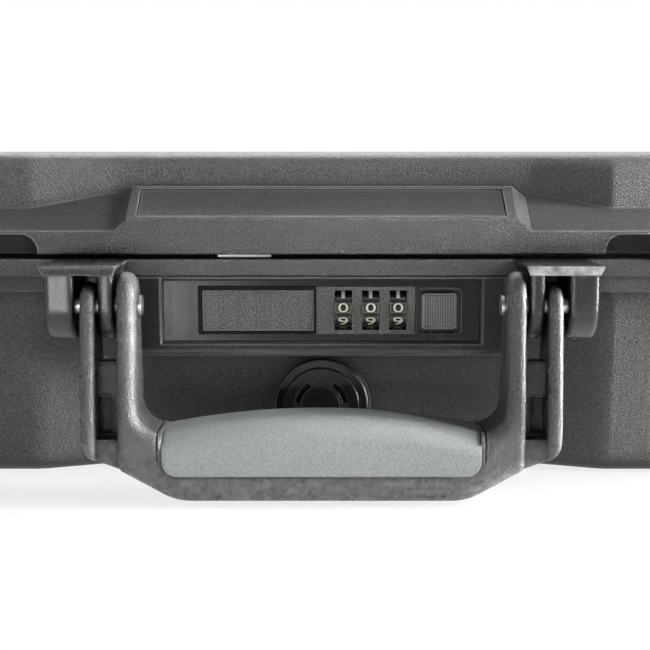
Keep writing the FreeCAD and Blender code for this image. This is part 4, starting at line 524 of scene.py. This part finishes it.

# Return spring of the slide: a bowed leaf of hardened strip steel. Its ends rest on the
# cover and its crown pushes the slide forward. In the case it flattens when the button is
# pressed; this piece keeps its bowed shape and rides on the base.
LEAF_THICK = 0.0004
LEAF_STEPS = 24
low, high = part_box("slide_spring")
leaf_corners = ((0.0, low.z), (0.0, high.z), (LEAF_THICK, high.z), (LEAF_THICK, low.z))
leaf_bow = high.y - low.y - LEAF_THICK
leaf_shape = bmesh.new()
sections = []
for step in range(LEAF_STEPS + 1):
    share = step / LEAF_STEPS
    across = low.x + (high.x - low.x) * share
    crown = high.y - LEAF_THICK - leaf_bow * math.sin(math.pi * share) ** 2
    sections.append([
        leaf_shape.verts.new((across, crown + back, height)) for back, height in leaf_corners])
for one, two in zip(sections, sections[1:]):
    for corner in range(4):
        leaf_shape.faces.new((one[corner], one[corner - 1], two[corner - 1], two[corner]))
leaf_shape.faces.new(sections[0])
leaf_shape.faces.new(sections[-1])
leaf = from_bmesh("return_leaf", leaf_shape, steel_finish.material)
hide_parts("slide_spring")
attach(leaf, "base")
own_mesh(leaf)

# Handle brackets: satin black mouldings, each a plate over two legs, screwed on from inside.
# Their feet carry painted light, as if lit from the floor, and the front edge of the right
# plate carries a painted highlight.
bracket_finish = moulded(
    "bracket_satin", dark=(0.014, 0.014, 0.014), light=(0.030, 0.030, 0.030),
    grain_size=0.0006, grain_depth=0.00006, rough=0.27, edge=0.0018, wear_and_sheen=1.3)
PLATE_EDGE = 0.0033
FOOT_START = 0.009
FOOT_FULL = 0.002
FOOT_FLOOR_LIGHT_TONE = (0.14, 0.14, 0.13)
BEVEL_HIGHLIGHT_TONE = (0.55, 0.56, 0.56)
low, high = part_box("handle_bracket_right")
plate_under = high.z - PLATE_EDGE
facing = bracket_finish.add("ShaderNodeNewGeometry", output="True Normal")
facing = bracket_finish.add("ShaderNodeSeparateXYZ", sockets={0: facing}, output="Y")
# Painted highlight on the front edge of the right plate.
bevel_highlight = bracket_finish.spread(bracket_finish.along("X"), 0.0, 0.02)
bevel_highlight = bevel_highlight * bracket_finish.spread(bracket_finish.along("Z"), plate_under, plate_under + 0.0003)
bevel_highlight = bevel_highlight * bracket_finish.spread(facing, -0.4, -0.8)
bevel_highlight = bevel_highlight * bracket_finish.spread(bracket_finish.noise(180.0, 3.0), 0.2, 0.6) * 0.9
# Painted light: the feet are lighter towards the floor, as if lit from it.
foot_floor_light = bracket_finish.spread(bracket_finish.along("Z"), low.z + FOOT_START, low.z + FOOT_FULL) * 0.4
foot_lit = bracket_finish.shade(bracket_finish.colour, FOOT_FLOOR_LIGHT_TONE, foot_floor_light)
bracket_finish.set(base_color=bracket_finish.shade(foot_lit, BEVEL_HIGHLIGHT_TONE, bevel_highlight))
bracket_finish.on("handle_bracket_left", "handle_bracket_right")

# Handle frame: one stippled moulding of arms, webs and bar, hung on two steel pins. Its
# edges are worn smooth, and the bar carries painted light towards the floor, as if lit from it.
handle_finish = moulded(
    "handle_stipple", dark=(0.040, 0.040, 0.040), light=(0.100, 0.100, 0.100),
    grain_size=0.0006, grain_depth=0.0003, rough=0.28, edge=0.0030, wear_and_sheen=1.2, rub=0.02)
BAR_LIGHT_START = 0.0328
BAR_LIGHT_FULL = 0.0108
BAR_FLOOR_LIGHT_TONE = (0.215, 0.215, 0.198)
low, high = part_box("handle_frame")
# Painted light: the lower bar is lighter near the floor, broken by noise.
bar_floor_light = handle_finish.spread(handle_finish.along("Z"), low.z + BAR_LIGHT_START, low.z + BAR_LIGHT_FULL)
bar_floor_light = bar_floor_light * handle_finish.spread(handle_finish.noise(400.0, 3.0), 0.2, 0.7) * 0.8
handle_finish.set(
    base_color=handle_finish.shade(handle_finish.colour, BAR_FLOOR_LIGHT_TONE, bar_floor_light),
    roughness=handle_finish.noise(60.0, 3.0) * 0.1 + 0.23)
handle_finish.on("handle_frame")

# Grip: grey rubber with a dense fine grain, crowned for the palm. It is moulded over the
# bar of the handle and held by the cuffs at its ends.
grip_finish = moulded(
    "grip_rubber", dark=(0.280, 0.297, 0.294), light=(0.384, 0.407, 0.403),
    grain_size=0.0005, grain_depth=0.0002, rough=0.44, edge=0.0008, wear_and_sheen=0.0, rub=0.05)
grip_finish.on("handle_grip")

# Pressure valve: satin black mouldings, pushed through the front wall and held by a nut
# inside. A pale woven membrane sits behind the slotted cap.
valve_finish = moulded(
    "valve_satin", dark=(0.010, 0.010, 0.010), light=(0.026, 0.026, 0.026),
    grain_size=0.001, grain_depth=0.0001, rough=0.32, edge=0.0005, wear_and_sheen=0.6, wear_and_sheen_radius=0.0009)
valve_finish.on("valve_body", "valve_cap", "valve_nut")
membrane_finish = moulded(
    "membrane_cloth", dark=(0.25, 0.25, 0.25), light=(0.6, 0.6, 0.6),
    grain_size=0.0006, grain_depth=0.0001, rough=0.9, edge=0.0003)
membrane_finish.on("valve_membrane")

# Side latches: satin mouldings that hang from the lid on steel pins, one in each pocket.
# Their hooks snap under the rim of the base.
latch_finish = moulded(
    "latch_satin", dark=(0.030, 0.030, 0.030), light=(0.095, 0.095, 0.093),
    grain_size=0.0009, grain_depth=0.0001, rough=0.36, edge=0.001)
latch_finish.on("latch_left", "latch_right")

# Studio floor: a wide white board under the case. It keeps the case's soft shadow, and
# runs out to plain white further off.
FLOOR_HALF = 6.0
WHITE = (1.0, 1.0, 1.0, 1.0)
floor_finish = Finish("studio_floor", base_color=(0.9, 0.9, 0.9, 1.0), roughness=0.8)
floor_shape = bmesh.new()
bmesh.ops.create_grid(floor_shape, x_segments=1, y_segments=1, size=FLOOR_HALF)
floor = from_bmesh("floor", floor_shape, floor_finish.material)
seen = floor_finish.add("ShaderNodeLightPath", output="Is Camera Ray")
mirrored = floor_finish.add("ShaderNodeLightPath", output="Is Glossy Ray")
mirrored = mirrored + floor_finish.add("ShaderNodeLightPath", output="Is Transmission Ray")
seen = seen + mirrored * floor_finish.spread(floor_finish.along("Y"), -0.6, -0.25, least=0.15)
away = floor_finish.add("ShaderNodeVectorMath", {"operation": "LENGTH"}, {0: floor_finish.place},
                        output="Value")
seen = seen * floor_finish.spread(away, 0.7, 2.5, least=0.8)
glow = floor_finish.add("ShaderNodeEmission", sockets={"Color": WHITE})
plain = Wire(floor_finish, floor_finish.shader.outputs[0])
blended = floor_finish.add("ShaderNodeMixShader", sockets={0: seen, 1: plain, 2: glow})
floor_finish.fill(floor_finish.tree.nodes["Material Output"], {"Surface": blended})

# Backdrop: white paper all round, darker behind the camera where the room is unlit. It
# gives the gloss its reflections and adds only a little light of its own.
ROOM_LIGHT = 0.1
world = bpy.data.worlds.new("studio")
bpy.context.scene.world = world
world.use_nodes = True
sky = Nodes(world.node_tree)
toward = sky.add("ShaderNodeTexCoord", output="Generated")
toward = sky.add("ShaderNodeSeparateXYZ", sockets={0: toward}, output="Y")
mirrored = sky.add("ShaderNodeLightPath", output="Is Glossy Ray")
mirrored = mirrored + sky.add("ShaderNodeLightPath", output="Is Transmission Ray")
mirrored = mirrored * sky.spread(toward, -0.6, 0.1, least=0.15)
seen = mirrored.maths("MAXIMUM", mirrored, sky.add("ShaderNodeLightPath", output="Is Camera Ray"))
sky.fill(world.node_tree.nodes["Background"], {
    "Color": WHITE, "Strength": seen.maths("MAXIMUM", seen, ROOM_LIGHT)})

# Lamps: soft boxes round the case. Two at the right have grids, so that their narrow beams
# graze the front and leave the right wall alone. A lit card lies on the floor at the left.
FRONT = (0.0, -0.15, 0.06)
PAST_FRONT = (0.0, -0.344, 0.06)
CARD = (-0.19, -0.66, 0.002)
ABOVE_CARD = (-0.19, -0.66, 1.0)


def lamp(name, place, target, size, power, beam=180.0):
    """A soft box of a given size at a place, turned to a target."""
    light = bpy.data.lights.new(name, "AREA")
    light.shape = "RECTANGLE"
    light.size, light.size_y = size
    light.energy = power
    light.spread = math.radians(beam)
    holder = bpy.data.objects.new(name, light)
    bpy.context.scene.collection.objects.link(holder)
    holder.visible_camera = False
    aim = (Vector(target) - Vector(place)).to_track_quat("-Z", "Y")
    holder.matrix_world = Matrix.Translation(place) @ aim.to_matrix().to_4x4()


lamp("low side", (1.2, -0.26, 0.12), PAST_FRONT, size=(0.2, 0.2), power=2.3, beam=28.0)
lamp("high side", (1.1, -0.25, 0.7), PAST_FRONT, size=(0.3, 0.3), power=1.35, beam=40.0)
lamp("key right", (1.0, -0.5, 0.4), FRONT, size=(0.12, 0.5), power=7.0)
lamp("left strip", (-1.0, -0.35, 0.35), FRONT, size=(0.06, 0.5), power=0.8)
lamp("back top", (0.0, 0.8, 0.9), FRONT, size=(1.0, 0.4), power=16.0)
lamp("card", CARD, ABOVE_CARD, size=(0.18, 0.14), power=5.1)

# Camera: a long lens in front of the handle, a little above the rim, tipped down. The
# small shift is the framing of the photograph.
CAMERA_PLACE = (0.0, -0.591, 0.121)
CAMERA_DOWN = 8.2
PICTURE_WIDTH = 650.0
PICTURE_SHIFT = 3.5
camera_data = bpy.data.cameras.new("camera")
camera_data.sensor_width = 36.0
camera_data.lens = 67.9
camera_data.shift_x = PICTURE_SHIFT / PICTURE_WIDTH
camera = bpy.data.objects.new("camera", camera_data)
bpy.context.scene.collection.objects.link(camera)
tip = Matrix.Rotation(math.radians(90.0 - CAMERA_DOWN), 4, "X")
camera.matrix_world = Matrix.Translation(CAMERA_PLACE) @ tip
bpy.context.scene.camera = camera
bpy.context.scene.view_settings.view_transform = "Standard"
